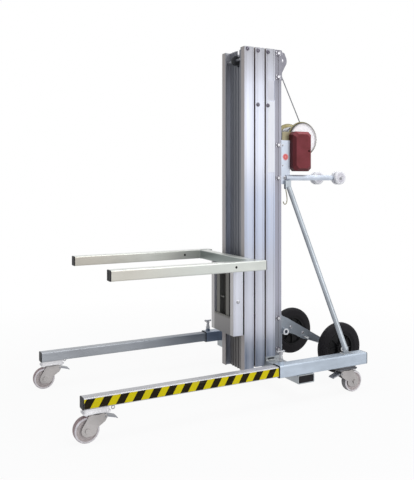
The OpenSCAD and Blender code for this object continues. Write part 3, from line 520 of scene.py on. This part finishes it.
for corner, body in (("front_left", "left_leg"), ("front_right", "right_leg"),
                     ("rear_left", "base"), ("rear_right", "base")):
    dress(caster_zinc, f"{corner}_caster_fork")
    # Front plates take painted light, rear plates painted shade.
    dress(shaded_zinc if body == "base" else lit_plate_zinc, f"{corner}_caster_plate")
    dress(pedal_steel, f"{corner}_brake_pedal")
    hub = [(low + high) / 2 for low, high in zip(*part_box(f"{corner}_caster_wheel"))]
    wheel_nylon = Finish(f"nylon_{corner}_wheel")
    wheel_x, wheel_y, wheel_z = wheel_nylon.axes()
    out = wheel_nylon.distance(wheel_x, wheel_y, wheel_z, (None, hub[1], hub[2]))
    mottle = wheel_nylon.noise(60, 4)
    face = wheel_nylon.mix(wheel_nylon.ramp(out, 0.015, 0.040), wheel_hub_tone, wheel_tone)
    face = wheel_nylon.mix(wheel_nylon.ramp(out, 0.0405, 0.0435), face, wheel_rim_tone)
    face = wheel_nylon.mix(wheel_nylon.ramp(mottle, 0.35, 0.7, 0.0, 0.35), face, wheel_stain)
    # The tread ring. On the rear wheels its near black tone is painted shade.
    face = wheel_nylon.mix(wheel_nylon.ramp(out, 0.0478, 0.0492) * 0.8, face,
                           rear_tread_painted_shade if body == "base" else tread_tone)
    wheel_nylon.paint(base_color=face, roughness=0.38 + 0.2 * mottle,
                      normal=wheel_nylon.bump(mottle, 0.15, 0.0004))
    dress(wheel_nylon, f"{corner}_caster_wheel")
    plate_x, plate_y = [(low + high) / 2 for low, high in zip(*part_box(f"{corner}_caster_plate"))][:2]
    seal = start(bpy.ops.mesh.primitive_torus_add, major_radius=seal_r, minor_radius=seal_thick,
                 major_segments=48, minor_segments=8, location=(plate_x, plate_y, seal_z))
    settle(seal, f"{corner}_dust_seal", body, seal_rubber)
    if body != "base":
        eye = start(bpy.ops.mesh.primitive_torus_add, major_radius=eye_r, minor_radius=eye_wire,
                    major_segments=28, minor_segments=10, rotation=(0, math.radians(90), 0),
                    location=(plate_x + math.copysign(eye_out, plate_x), plate_y + eye_back, eye_z))
        settle(eye, f"{corner}_eye", body, bolt_steel)


# Transport wheels: solid rubber tyres on black moulded hubs, on one bright
# steel axle behind the mast.
tyre_rubber = moulded("black_rubber_tyres", (0.013, 0.012, 0.014), (0.024, 0.023, 0.025), 0.6)
dress(tyre_rubber, "left_transport_tyre", "right_transport_tyre")
hub_black = moulded("black_hubs", (0.009, 0.009, 0.010), (0.02, 0.02, 0.02), 0.4)
dress(hub_black, "left_transport_hub", "right_transport_hub")
dress(zinc("bright_axle", (0.62, 0.63, 0.65), "x", 0.18, 1.0), "transport_axle")


# Wheel carrier: a plated plate on the mast's rails with two folded arms down
# to the axle. The lashing tube across it has bright turned ends.
carrier_tone, tube_end_tone = (0.36, 0.40, 0.45), (0.86, 0.87, 0.89)
tube_centre, tube_half, tube_r = (None, 0.374, 0.254), 0.1192, 0.0168


def bright_ends(finish, shade):
    """The turned ends of the lashing tube."""
    carrier_x, carrier_y, carrier_z = finish.axes()
    across = finish.distance(carrier_x, carrier_y, carrier_z, tube_centre)
    return finish.mix((abs(carrier_x) > tube_half) * (across < tube_r) * 0.9, shade, tube_end_tone)


dress(zinc("zinc_wheel_carrier", carrier_tone, "y", tint=bright_ends), "wheel_carrier", "carrier_arms")


# Braces: round plated tubes with flattened feet, from the winch bracket down
# to the side beams, where they are welded.
dress(zinc("zinc_braces", (0.44, 0.48, 0.52), "", 0.34, 0.5, 0.12), "braces")


# Mast: three sections of drawn and satin anodised alloy that slide in each
# other's lips, with drawn lines up the mast. Its colour holds painted light
# and shade: a pale bluish painted reflection at mid height, painted light
# lower down, painted shade at the top and a dark bluish painted shade at the
# foot, a painted highlight across each section with painted shade in the
# gaps, brownish painted shade on the faces that look forward and back, and
# dark painted shade on the ribbed webs inside.
mast_tone, mast_front_painted_shade = (0.56, 0.575, 0.65), (0.39, 0.35, 0.33)
mast_web_painted_shade, web_foot = (0.200, 0.208, 0.230), (0.22, 0.205, 0.19)
foot_painted_shade_tone, mid_height_reflection_tone, section_highlight_tone = (0.165, 0.21, 0.295), (0.84, 0.88, 1.0), (0.66, 0.69, 0.79)
bluish_reflection_tone, low_painted_light_tone = (0.50, 0.575, 0.75), (0.74, 0.755, 0.84)
section_gap_shade_tone, top_painted_shade_tone, rail_tone = (0.30, 0.30, 0.36), (0.31, 0.31, 0.33), (0.25, 0.245, 0.29)
rail_mid_painted_light, rail_top_painted_shade, rail_foot_painted_shade = (0.36, 0.36, 0.43), (0.195, 0.19, 0.225), (0.19, 0.20, 0.23)
section_first, section_pitch, section_deep, rail_from, web_half = 0.079, 0.061, 0.052, 0.3135, 0.0806


def alloy(name, tone, edge=mast_front_painted_shade, web=mast_web_painted_shade, foot=web_foot, dull=0.38, shine=0.35):
    """Satin anodised alloy with drawn lines along z, for the mast and what is bolted to it, with painted light
    and shade by height, by section, on the faces that look along y and on the webs inside.
    """
    finish = Finish(name)
    line = finish.noise(600, 3, (1, 1, 0.004))
    band = finish.noise(90, 2, (1, 1, 0.01))
    cloud = finish.noise(3, 2, (1, 1, 0.5))
    x, y, z = finish.axes()
    turn_y = finish.facing()[1]
    along = ((y - section_first) % section_pitch) / section_deep
    # Darker and bluer towards the foot: painted shade.
    shade = finish.mix(finish.ramp(z, 0.16, 0.29), foot_painted_shade_tone, tone)
    # A pale painted reflection at mid height.
    clear = finish.ramp(z, 0.87, 1.12) * finish.ramp(z, 1.54, 1.32)
    shade = finish.mix(clear * 0.75, shade, mid_height_reflection_tone)
    # A bluish painted reflection a little lower.
    cool = finish.ramp(z, 0.55, 0.72) * finish.ramp(z, 1.06, 0.90)
    shade = finish.mix(cool * 0.8, shade, bluish_reflection_tone)
    # Painted light low down, above the foot.
    low = finish.ramp(z, 0.22, 0.30) * finish.ramp(z, 0.56, 0.42)
    shade = finish.mix(low * 0.8, shade, low_painted_light_tone)
    # A painted highlight across each section, and painted shade in the gaps between sections.
    shade = finish.mix(finish.ramp(abs(along - 0.62), 0.42, 0.05) * 0.30, shade, section_highlight_tone)
    shade = finish.mix(finish.ramp(along, 0.16, 0.02) * 0.45, shade, section_gap_shade_tone)
    shade = finish.mix(finish.ramp(line, 0.3, 0.7, 0.0, 0.35), shade, darker(tone, 0.8))
    shade = finish.mix(finish.ramp(band, 0.4, 0.7, 0.0, 0.3), shade, darker(tone, 0.75))
    # Painted shade at the top.
    shade = finish.mix(finish.ramp(z, 1.46, 1.62) * 0.75, shade, top_painted_shade_tone)
    # The rear rails keep their own grey tone, with painted light at mid height and painted shade at the top and
    # the foot.
    rail = finish.mix(finish.ramp(z, 1.05, 0.55), rail_tone, rail_mid_painted_light)
    rail = finish.mix(finish.ramp(z, 1.34, 1.50), rail, rail_top_painted_shade)
    rail = finish.mix(finish.ramp(z, 0.40, 0.28), rail, rail_foot_painted_shade)
    shade = finish.mix((y > rail_from) * 0.85, shade, rail)
    # Brownish painted shade on the faces that look along y.
    shade = finish.mix(finish.ramp(abs(turn_y), 0.5, 0.9) * 0.85, shade, edge)
    # The webs between the columns: dark painted shade with lighter stripes across x, and the foot tone below
    # 0.345 m.
    rib = finish.ramp(abs(((x * 41.7) % 1.0) - 0.5), 0.15, 0.35)
    ribbed = finish.mix(rib, web, darker(web, 1.45))
    ribbed = finish.mix(finish.ramp(z, 0.345, 0.335) * 0.8, ribbed, foot)
    shade = finish.mix(finish.ramp(abs(x), web_half, web_half - 0.0006) * 0.9, shade, ribbed)
    finish.paint(base_color=shade, metallic=shine, roughness=dull - 0.05 + 0.12 * cloud,
                 normal=finish.bump(line, 0.1, 0.0003))
    return finish


dress(alloy("anodised_mast", mast_tone), "base_mast", "mid_mast", "inner_mast")


# Slide shoes and stage sheaves: dark nylon, captured in the sections' lips
# and on pins in the notches at the sections' tops.
dark_nylon = moulded("dark_nylon", (0.045, 0.047, 0.05), (0.08, 0.08, 0.08), 0.4, 0.3)
dress(dark_nylon, "mid_sheave", "inner_sheave", "mid_mast_shoes", "inner_mast_shoes")


# Side screws of the mast: dark button heads with a socket, each on a washer,
# which hold the shoes and sheave pins. The head is modelled once and copied.
button_r, button_h, washer_r, washer_thick, wide_washer = 0.0078, 0.0046, 0.0100, 0.0014, 1.15
face_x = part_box("base_mast")[1][0]


def join(first, second):
    """Make the second piece part of the first one."""
    bpy.ops.object.select_all(action="DESELECT")
    first.select_set(True)
    second.select_set(True)
    bpy.context.view_layer.objects.active = first
    bpy.ops.object.join()


button = start(bpy.ops.mesh.primitive_cylinder_add, vertices=24, radius=button_r, depth=button_h,
               location=(0, 0, button_h / 2 + 0.0013))
fix()
choose(button, "EDGE", lambda edge: min(v.co.z for v in edge.verts) > 0.0055)
bpy.ops.mesh.bevel(offset=0.0030, segments=4)
choose(button, "FACE", lambda face: face.normal.z > 0.99 and face.calc_area() > 1e-5)
bpy.ops.mesh.inset(thickness=0.0014)
bpy.ops.mesh.extrude_region_move(TRANSFORM_OT_translate={"value": (0, 0, -0.0018)})
leave()
washer = start(bpy.ops.mesh.primitive_cylinder_add, vertices=28, radius=washer_r, depth=washer_thick,
               location=(0, 0, washer_thick / 2))
fix()
choose(washer, "EDGE", lambda edge: min(v.co.z for v in edge.verts) > 0.0012)
bpy.ops.mesh.bevel(offset=0.0004, segments=2)
leave()
broad_washer = washer.copy()
broad_washer.data = washer.data.copy()
broad_washer.data.transform(Matrix.Diagonal((wide_washer, wide_washer, 1.0, 1.0)))
join(button, washer)
dark_steel = zinc("dark_screws", (0.13, 0.12, 0.15), "z", 0.24, 0.7)
for body, spots in (("inner_mast", [(0.157, 1.632)]), ("mid_mast", [(0.216, 1.628), (0.216, 1.367)]),
                    ("base", [(0.273, 1.6265), (0.273, 1.366)])):
    spread(button, f"side_screws_{body}", body, dark_steel,
           [((side * face_x, y, z), (side, 0, 0)) for side, end in ends for y, z in spots])


# Films on the mast's sides: thin smooth vinyl with round corners, stuck on, a
# white one and a paler one above it with a dark rear edge.
film_y, film_w, film_thick, film_round = 0.2925, 0.0390, 0.0004, 0.003
strip_white = Finish("white_film")
film_cloud = strip_white.noise(9, 3)
film_line = strip_white.ramp(strip_white.noise(300, 2, (1, 1, 0.05)), 0.55, 0.75)
film_shade = strip_white.mix(film_cloud, (0.80, 0.82, 0.88), (0.90, 0.91, 0.95))
strip_white.paint(base_color=strip_white.mix(film_line * 0.2, film_shade, (0.62, 0.64, 0.72)),
                  roughness=0.3 + 0.15 * film_cloud)
strip_pale = Finish("pale_film")
pale_y = strip_pale.axes()[1]
pale_cloud = strip_pale.noise(14, 3)
pale_shade = strip_pale.mix(pale_cloud, (0.62, 0.62, 0.68), (0.72, 0.72, 0.78))
pale_shade = strip_pale.mix(pale_y > 0.3100, pale_shade, (0.10, 0.11, 0.20))
strip_pale.paint(base_color=pale_shade, roughness=0.35 + 0.1 * pale_cloud)
for side, end in ends:
    for kind, low, high, finish in (("white", 1.040, 1.386, strip_white), ("pale", 1.392, 1.490, strip_pale)):
        strip = start(bpy.ops.mesh.primitive_cube_add, size=1,
                      location=(side * (face_x + 0.00012), film_y, (low + high) / 2))
        strip.scale = (film_thick, film_w, high - low)
        fix()
        choose(strip, "EDGE", lambda edge: abs(edge.verts[0].co.x - edge.verts[1].co.x) > film_thick / 2)
        bpy.ops.mesh.bevel(offset=film_round, segments=4)
        leave()
        settle(strip, f"{kind}_film_{end}", "base", finish)


# Rail clamps: bright plated bars that are bolted across the mast's rear
# rails, with a broad dark washer under each bolt.
clamp_heights, clamp_out, clamp_back = (1.626, 1.510, 1.175, 1.013, 0.323, 0.170), 0.1090, 0.3345
dress(zinc("plated_rail_clamps", (0.60, 0.60, 0.63), "", 0.22, 0.9, 0.25), "rail_clamps")
spread(broad_washer, "rail_clamp_washers", "base", dark_steel,
       [((side * clamp_out, clamp_back, z), (side, 0, 0)) for side, end in ends for z in clamp_heights])
bpy.data.objects.remove(broad_washer, do_unlink=True)


# Top pulley bracket: folded alloy cheeks on the mast's head, with the white
# nylon sheave that leads the rope between them.
# The bracket's alloy carries the same painted light and shade as the mast.
dress(alloy("anodised_bracket", (0.52, 0.52, 0.57)), "top_pulley_bracket")
dress(moulded("white_nylon", (0.72, 0.72, 0.74), (0.6, 0.6, 0.62), 0.4, 0.4), "top_sheave")


# Carriage: the alloy slide in front of the mast, open at its middle, with its
# dark nylon shoes and one bright side screw on each side.
# The carriage's faces that look along y carry brownish painted shade, and its webs a nearly black painted
# shade.
carriage_tone, carriage_front_painted_shade = (0.80, 0.82, 0.90), (0.58, 0.56, 0.54)
carriage_web_painted_shade, carriage_foot = (0.064, 0.063, 0.050), (0.26, 0.25, 0.25)
dress(alloy("anodised_carriage", carriage_tone, carriage_front_painted_shade, carriage_web_painted_shade, carriage_foot), "carriage")
dress(dark_nylon, "carriage_shoes")
spread(button, "side_screws_carriage", "carriage", bolt_steel,
       [((side * face_x, 0.105, 0.423), (side, 0, 0)) for side, end in ends])
bpy.data.objects.remove(button, do_unlink=True)


# Fork frame: welded square tube with black end plugs. Ripple beads close the
# corners of the cross bar, and a black nylon sleeve lines the cross hole of
# each fork. Dark greenish painted shade covers the forward faces, the sides
# that look towards +x take painted shade, darker on the far fork, and a black
# painted shade rings the cross hole.
fork_tone, fork_front_painted_shade, far_fork_painted_shade = (0.70, 0.725, 0.68), (0.17, 0.215, 0.205), (0.38, 0.38, 0.345)
near_fork_painted_shade, fork_warm = (0.55, 0.575, 0.54), (0.56, 0.46, 0.36)
bar_front, bar_back, bar_end, fork_x, fork_z, fork_half = 0.081, 0.126, 0.2440, 0.2665, 0.6155, 0.0225
hole_y, hole_shade_r, sleeve_r, sleeve_long, sleeve_wall = -0.007, 0.0058, 0.0049, 0.0462, 0.0008


def fork_places(finish, shade):
    """Painted shade on the front and on the sides that face +x, warmer fork ends and a black painted shade
    around the cross hole.
    """
    x, y, z = finish.axes()
    way_x, way_y, way_z = finish.facing()
    # Painted shade on the faces that look forward, and on the sides that look towards +x, darker on the far
    # fork.
    shade = finish.mix(finish.ramp(way_y, -0.5, -0.9) * 0.75, shade, fork_front_painted_shade)
    shade = finish.mix((x < 0) * finish.ramp(way_x, 0.5, 0.9) * 0.6, shade, far_fork_painted_shade)
    shade = finish.mix((x > 0) * finish.ramp(way_x, 0.5, 0.9) * 0.5, shade, near_fork_painted_shade)
    shade = finish.mix(finish.ramp(y, -0.20, -0.50) * finish.ramp(way_z, 0.7, 0.3) * 0.35, shade, fork_warm)
    # A black painted shade around the cross hole.
    hole = finish.distance(x, y, z, (None, hole_y, fork_z)) < hole_shade_r
    return finish.mix(hole * 0.97, shade, (0.006, 0.006, 0.006))


dress(zinc("zinc_fork_frame", fork_tone, "y", 0.3, tint=fork_places), "fork_frame")
dress(plug_black, "fork_caps")
seams = []
for side, end in ends:
    x = side * bar_end
    for z in (fork_z - fork_half + 0.001, fork_z + fork_half - 0.001):
        seams += drops((x, bar_front + 0.004, z), (x, bar_back - 0.004, z))
    for y in (bar_front + 0.001, bar_back - 0.001):
        seams += drops((x, y, fork_z - fork_half + 0.004), (x, y, fork_z + fork_half - 0.004))
    sleeve = start(bpy.ops.mesh.primitive_cylinder_add, vertices=32, radius=sleeve_r, depth=sleeve_long,
                   end_fill_type="NOTHING", location=(side * fork_x, hole_y, fork_z),
                   rotation=(0, math.radians(90), 0))
    fix()
    wall = sleeve.modifiers.new("wall", "SOLIDIFY")
    wall.thickness, wall.offset = sleeve_wall, -1
    bpy.ops.object.modifier_apply(modifier=wall.name)
    settle(sleeve, f"fork_sleeve_{end}", "carriage", plug_black)
spread(ripple, "fork_weld_beads", "carriage", weld_zinc, seams)
bpy.data.objects.remove(ripple, do_unlink=True)


# Winch bracket: a folded and plated plate on the mast's rear, with the two
# loading arms that are welded to its cheeks.
dress(zinc("zinc_winch_bracket", (0.64, 0.70, 0.80), "z", 0.3), "winch_bracket")


# Loading rollers: turned white nylon on the ends of the arms, each held by
# one plated hex bolt on a washer. The bolt is modelled once for all joints.
roller_y, roller_z, roller_bolt_x = 0.721, 1.015, 0.1154
roller_hub, roller_groove = (0.84, 0.84, 0.87), (0.70, 0.68, 0.74)
roller_rim, roller_haze = (0.86, 0.86, 0.89), (0.6, 0.6, 0.63)
bolt_r, bolt_h, bolt_washer_r, bolt_washer_thick = 0.0075, 0.0055, 0.0098, 0.0016
hex_bolt = start(bpy.ops.mesh.primitive_cylinder_add, vertices=6, radius=bolt_r, depth=bolt_h,
                 location=(0, 0, bolt_h / 2 + 0.0015))
fix()
choose(hex_bolt, "FACE", lambda face: face.normal.z > 0.9)
bpy.ops.mesh.inset(thickness=0.0010)
bpy.ops.transform.translate(value=(0, 0, 0.0006))
bpy.ops.mesh.inset(thickness=0.0016)
bpy.ops.transform.translate(value=(0, 0, -0.0004))
leave()
washer = start(bpy.ops.mesh.primitive_cylinder_add, vertices=28, radius=bolt_washer_r, depth=bolt_washer_thick,
               location=(0, 0, bolt_washer_thick / 2))
fix()
choose(washer, "EDGE", lambda edge: min(v.co.z for v in edge.verts) > 0.0012)
bpy.ops.mesh.bevel(offset=0.0004, segments=2)
leave()
join(hex_bolt, washer)
for side, end in ends:
    spread(hex_bolt, f"roller_bolt_{end}", f"{end}_roller", bolt_steel,
           [((side * roller_bolt_x, roller_y, roller_z), (side, 0, 0), 1.1)])
roller_white = Finish("white_roller_nylon")
reach = roller_white.distance(*roller_white.axes(), (None, roller_y, roller_z))
haze = roller_white.noise(60, 3)
face = roller_white.mix(roller_white.ramp(reach, 0.012, 0.016), roller_hub, roller_groove)
face = roller_white.mix(roller_white.ramp(reach, 0.0225, 0.0255), face, roller_rim)
face = roller_white.mix(roller_white.ramp(haze, 0.5, 0.8) * 0.25, face, roller_haze)
roller_white.paint(base_color=face, roughness=0.3 + 0.2 * haze, normal=roller_white.bump(haze, 0.1, 0.0004))
dress(roller_white, "left_loading_roller", "right_loading_roller")


# Winch frame and drum: yellow passivated steel. The drum's flanges have rolled
# rims, and the plated gear wheel on its near end has a nearly white face
# inside a dull greased band and a dark tooth rim.
drum_y, drum_z, gear_from = 0.512, 1.212, 0.0632
gold_deep, gold_light, gold_edge = (0.46, 0.38, 0.16), (0.60, 0.55, 0.33), (0.13, 0.12, 0.08)
gear_light, gear_dull = (0.90, 0.89, 0.91), (0.78, 0.78, 0.80)
gear_grease, gear_rim = (0.40, 0.38, 0.39), (0.10, 0.105, 0.10)
gold_zinc = zinc("yellow_zinc", (0.34, 0.305, 0.19), "z", 0.3)
dress(gold_zinc, "winch_frame")
drum_finish = Finish("drum_and_gear")
drum_px, drum_py, drum_pz = drum_finish.axes()
out = drum_finish.distance(drum_px, drum_py, drum_pz, (None, drum_y, drum_z))
gold = drum_finish.ramp(drum_finish.noise(30, 4), 0.35, 0.65)
gold = drum_finish.mix(gold, gold_deep, gold_light)
gold = drum_finish.mix(drum_finish.ramp(out, 0.084, 0.089) * 0.75, gold, gold_edge)
plate = drum_finish.mix(drum_finish.ramp(drum_finish.noise(45, 3), 0.4, 0.7, 0.0, 0.4), gear_light, gear_dull)
plate = drum_finish.mix(drum_finish.ramp(out, 0.0740, 0.0755), plate, gear_grease)
plate = drum_finish.mix(drum_finish.ramp(out, 0.0795, 0.0815), plate, gear_rim)
turned = drum_finish.ramp(abs(((out * 900) % 1.0) - 0.5), 0.1, 0.4)
skin = drum_finish.mix(drum_px > gear_from, gold, plate)
skin = drum_finish.mix(turned * 0.07, skin, (0.2, 0.2, 0.19))
drum_finish.paint(base_color=skin, metallic=0.35, roughness=0.3 + 0.08 * turned,
                  normal=drum_finish.bump(turned, 0.08, 0.0003))
dress(drum_finish, "rope_drum")


# Ropes: 6 mm galvanised wire rope of six strands. The winding lies on the drum
# in one full layer, climbs at the far flange and comes half back; the free run
# goes over the top sheave and down behind the mast.
sheave_y, sheave_z, sheave_r = 0.364, 1.595, 0.030
rope_r, lower_r, upper_r, loops, climb = 0.003, 0.0606, 0.0676, 15, 0.5
lay_pitch, wound_sides, free_sides = 0.042, 18, 24
wire_light, wire_dark, wire_grease = (0.36, 0.37, 0.39), (0.16, 0.16, 0.18), (0.09, 0.08, 0.075)
turns = 1.5 * loops + climb
edge_x = 0.059 - rope_r - 0.0006
loop_pitch = 2 * edge_x / loops
span = math.hypot(sheave_y - drum_y, sheave_z - drum_z)
run = math.sqrt(span ** 2 - (upper_r - sheave_r) ** 2)
leave_turn = math.atan2(sheave_z - drum_z, sheave_y - drum_y) - math.acos((upper_r - sheave_r) / span)
leave_way = Vector((0, -math.sin(leave_turn), math.cos(leave_turn)))


def laid_rope(name, points, radius, pitch, sides, first, last):
    """A rope mesh of six twisted strands that follows the points, with a length attribute."""
    mesh = bmesh.new()
    along = mesh.verts.layers.float.new("along")
    length = 0.0
    rings = []
    for i, point in enumerate(points):
        if i:
            length += (point - points[i - 1]).length
        if 0 < i < len(points) - 1:
            way = (points[i + 1] - points[i - 1]).normalized()
        else:
            way = last if i else first
        across = Vector((0, 0, 1))
        if abs(way.x) < 0.99:
            across = way.cross(Vector((1, 0, 0)).cross(way)).normalized()
        up = across.cross(way).normalized()
        ring = []
        for k in range(sides):
            turn = 2 * math.pi * k / sides
            lobe = abs(math.cos(3 * (turn - 2 * math.pi * length / pitch)))
            reach = radius * (0.86 + 0.14 * lobe)
            vert = mesh.verts.new(point + reach * (math.cos(turn) * across + math.sin(turn) * up))
            vert[along] = length
            ring.append(vert)
        rings.append(ring)
    for low, high in zip(rings, rings[1:]):
        for k in range(sides):
            mesh.faces.new((low[k], low[(k + 1) % sides], high[(k + 1) % sides], high[k]))
    mesh.faces.new(list(reversed(rings[0])))
    mesh.faces.new(rings[-1])
    bmesh.ops.recalc_face_normals(mesh, faces=mesh.faces)
    data = bpy.data.meshes.new(name)
    mesh.to_mesh(data)
    mesh.free()
    piece = bpy.data.objects.new(name, data)
    bpy.context.scene.collection.objects.link(piece)
    return piece


wound = []
for i in range(int(turns * 72) + 1):
    n = i / 72
    x = edge_x - n * loop_pitch if n < loops else -edge_x + max(n - loops - climb, 0) * loop_pitch
    reach = lower_r + (upper_r - lower_r) * min(max(n - loops, 0) / climb, 1)
    turn = leave_turn + (n - turns) * 2 * math.pi
    wound.append(Vector((x, drum_y + reach * math.cos(turn), drum_z + reach * math.sin(turn))))
leave_at = wound[-1]
wound += [leave_at + s * leave_way for s in (0.006, 0.017, 0.034)]
free = [leave_at + (0.034 + s * (run - 0.037) / 90) * leave_way for s in range(90)]
bend = int((math.pi - leave_turn) / math.radians(4))
free += [Vector((0, sheave_y + sheave_r * math.cos(a), sheave_z + sheave_r * math.sin(a)))
         for a in (leave_turn + (math.pi - leave_turn) * k / bend for k in range(bend + 1))]
down = sheave_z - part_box("lift_rope")[0][2]
free += [Vector((0, sheave_y - sheave_r, sheave_z - down * s / 40)) for s in range(1, 41)]

wire = Finish("wire_rope")
length = wire.node("ShaderNodeAttribute", {"attribute_name": "along"}, out=2)
wire_grain = wire.ramp(wire.noise(520, 2), 0.35, 0.7)
grease = wire.ramp(wire.noise(60, 3), 0.5, 0.75)
lay = wire.ramp(abs(((length * 330) % 1.0) - 0.5), 0.05, 0.45)
strand = wire.mix(wire_grain * 0.5 + lay * 0.3, wire_light, wire_dark)
strand = wire.mix(grease * 0.4, strand, wire_grease)
wire.paint(base_color=strand, metallic=0.7, roughness=0.36 + 0.2 * grease, normal=wire.bump(lay, 0.3, 0.0003))
first_way = (wound[1] - wound[0]).normalized()
winding = laid_rope("laid_rope_winding", wound, rope_r, lay_pitch, wound_sides, first_way, leave_way)
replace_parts(settle(winding, "laid_rope_winding", "rope_drum", wire, 60), "rope_winding")
hoist_rope = laid_rope("laid_lift_rope", free, rope_r, lay_pitch, free_sides, leave_way, Vector((0, 0, -1)))
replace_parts(settle(hoist_rope, "laid_lift_rope", "base", wire, 60), "lift_rope")


# Rope anchor behind the mast's web: a folded plate with two bolts, in which a
# swaged socket on the rope's end is held by a nut.
anchor_half, anchor_front, anchor_thick = 0.020, 0.2962, 0.0050
anchor_top, anchor_foot, anchor_back = 1.4650, 1.4250, 0.3480
socket_r, socket_long, socket_y, socket_z = 0.0058, 0.040, 0.334, 1.4720


def box_piece(low, high, round_by):
    """A block with rounded edges between two corners."""
    piece = start(bpy.ops.mesh.primitive_cube_add, size=1, location=[(a + b) / 2 for a, b in zip(low, high)])
    piece.scale = [b - a for a, b in zip(low, high)]
    fix()
    choose(piece, "EDGE", lambda edge: True)
    bpy.ops.mesh.bevel(offset=round_by, segments=2)
    leave()
    return piece


leaf = box_piece((-anchor_half, anchor_front, anchor_top - anchor_thick),
                 (anchor_half, anchor_back, anchor_top), 0.0012)
back = box_piece((-anchor_half, anchor_front, anchor_foot),
                 (anchor_half, anchor_front + 0.0040, 1.4640), 0.0012)
join(leaf, back)
settle(leaf, "rope_anchor_plate", "base", bolt_steel)
socket = start(bpy.ops.mesh.primitive_cylinder_add, vertices=24, radius=socket_r, depth=socket_long,
               location=(0, socket_y, socket_z))
fix()
choose(socket, "FACE", lambda face: face.normal.z > 0.9)
bpy.ops.mesh.inset(thickness=0.0018)
bpy.ops.mesh.extrude_region_move(TRANSFORM_OT_translate={"value": (0, 0, 0.008)})
leave()
settle(socket, "rope_anchor_socket", "base", bolt_steel)
spread(hex_bolt, "rope_anchor_bolts", "base", bolt_steel,
       [((x, anchor_front + 0.0040, 1.438), (0, 1, 0), 0.75) for x in (-0.012, 0.012)]
       + [((0, socket_y, anchor_top - anchor_thick), (0, 0, -1), 1.15)])


# Winch cover: pressed steel box, powder coated dark red, held by two screws,
# with a fine orange-peel surface and rubbed edges. Painted light lightens its
# top, and painted shade darkens its lower and front slopes.
cover_deep, cover_light, cover_top_painted_light = (0.150, 0.022, 0.026), (0.205, 0.036, 0.046), (0.30, 0.055, 0.065)
cover_front_painted_shade, cover_low_painted_shade, cover_rubbed = (0.060, 0.009, 0.012), (0.060, 0.010, 0.012), (0.35, 0.16, 0.16)
cover_coat = Finish("dark_red_powder_coat")
way_y, way_z = cover_coat.facing()[1:]
peel = cover_coat.noise(380, 2)
stain = cover_coat.ramp(cover_coat.noise(16, 3), 0.35, 0.7)
coat = cover_coat.mix(stain, cover_deep, cover_light)
# Painted light on the top, and painted shade on the front and lower slopes.
coat = cover_coat.mix(cover_coat.ramp(way_z, 0.2, 0.7) * 0.55, coat, cover_top_painted_light)
coat = cover_coat.mix(cover_coat.ramp(way_y, -0.3, -0.8) * 0.8, coat, cover_front_painted_shade)
coat = cover_coat.mix(cover_coat.ramp(way_z, -0.2, -0.7) * 0.6, coat, cover_low_painted_shade)
scuffed = cover_coat.ramp(cover_coat.noise(90, 4, (1, 1, 0.4)), 0.68, 0.78)
coat = cover_coat.mix(scuffed * 0.25, coat, cover_rubbed)
cover_coat.paint(base_color=coat, specular_ior_level=0.2, roughness=0.40 + 0.12 * stain,
                 normal=cover_coat.bump(peel, 0.12, 0.0004))
dress(cover_coat, "winch_cover")


# Crank: a flat plated steel arm on the pinion's shaft, with a ribbed black
# plastic grip that turns on its pin.
dress(zinc("plated_crank", (0.45, 0.46, 0.48), "z", 0.3), "crank")
dress(plug_black, "crank_grip")


# Red dot on the near cheek of the winch bracket: a vinyl disc with a paler
# edge and middle, stuck on.
dot_r, dot_x, dot_y, dot_z = 0.017, 0.0902, 0.390, 1.118
dot = start(bpy.ops.mesh.primitive_cylinder_add, vertices=48, radius=dot_r, depth=0.0004,
            location=(dot_x, dot_y, dot_z), rotation=(0, math.radians(90), 0))
fix()
choose(dot, "FACE", lambda face: face.normal.x > 0.9)
bpy.ops.mesh.inset(thickness=0.003)
bpy.ops.transform.translate(value=(0.0001, 0, 0))
leave()
dot_red = Finish("red_dot")
across_x, across_y, across_z = dot_red.axes()
reach = dot_red.distance(across_x, across_y, across_z, (None, dot_y, dot_z))
fade = dot_red.noise(120, 3)
shade = dot_red.mix(dot_red.ramp(reach, 0.0125, 0.0150), (0.74, 0.11, 0.11), (0.85, 0.42, 0.42))
shade = dot_red.mix(dot_red.ramp(reach, 0.0045, 0.0030) * 0.6, shade, (0.88, 0.45, 0.42))
dot_red.paint(base_color=dot_red.mix(fade * 0.25, shade, (0.8, 0.3, 0.3)), roughness=0.3 + 0.2 * fade)
settle(dot, "red_dot", "base", dot_red)


# Hook for the strap, bent from yellow plated wire and welded under the lug of
# the left brace.
hook_wire, hook_x = 0.0024, 0.098
bends = [(0.386, 0.963), (0.387, 0.950), (0.392, 0.928), (0.395, 0.905), (0.391, 0.886), (0.381, 0.880),
         (0.373, 0.886), (0.371, 0.896)]
hook = bend_wire("strap_hook", "NURBS", [(hook_x, y, z) for y, z in bends], hook_wire, 3)
settle(hook, "strap_hook", "base", gold_zinc)


# Bolted joints of the base: rail clamps, wheel carrier, winch bracket, arm
# roots, drum shaft and top pulley, all with the same plated hex bolt.
rail_bolt_x, rail_bolt_y, carrier_x, cheek_x = 0.0930, 0.3592, 0.0742, 0.0902
spots = [((-0.0862, drum_y, drum_z), (-1, 0, 0), 0.9)]
spots += [((x, 0.4210, z), (0, 1, 0), 0.9) for x in (-0.06, 0.06) for z in (1.125, 1.162)]
for side, end in ends:
    spots += [((side * rail_bolt_x, rail_bolt_y, z), (0, 1, 0), 0.85)
              for z in (0.185, 0.303, 1.012, 1.176, 1.508, 1.628)]
    for x, y, z, grow in ((carrier_x, 0.432, 0.262, 0.8), (carrier_x, 0.506, 0.226, 0.8),
                          (cheek_x, 0.390, 1.0135, 1.25), (cheek_x, 0.374, 1.176, 0.55),
                          (cheek_x, 0.374, 1.075, 0.5), (0.0882, sheave_y, sheave_z, 1.2)):
        spots.append(((side * x, y, z), (side, 0, 0), grow))
spread(hex_bolt, "base_bolts", "base", bolt_steel, spots)
bpy.data.objects.remove(hex_bolt, do_unlink=True)
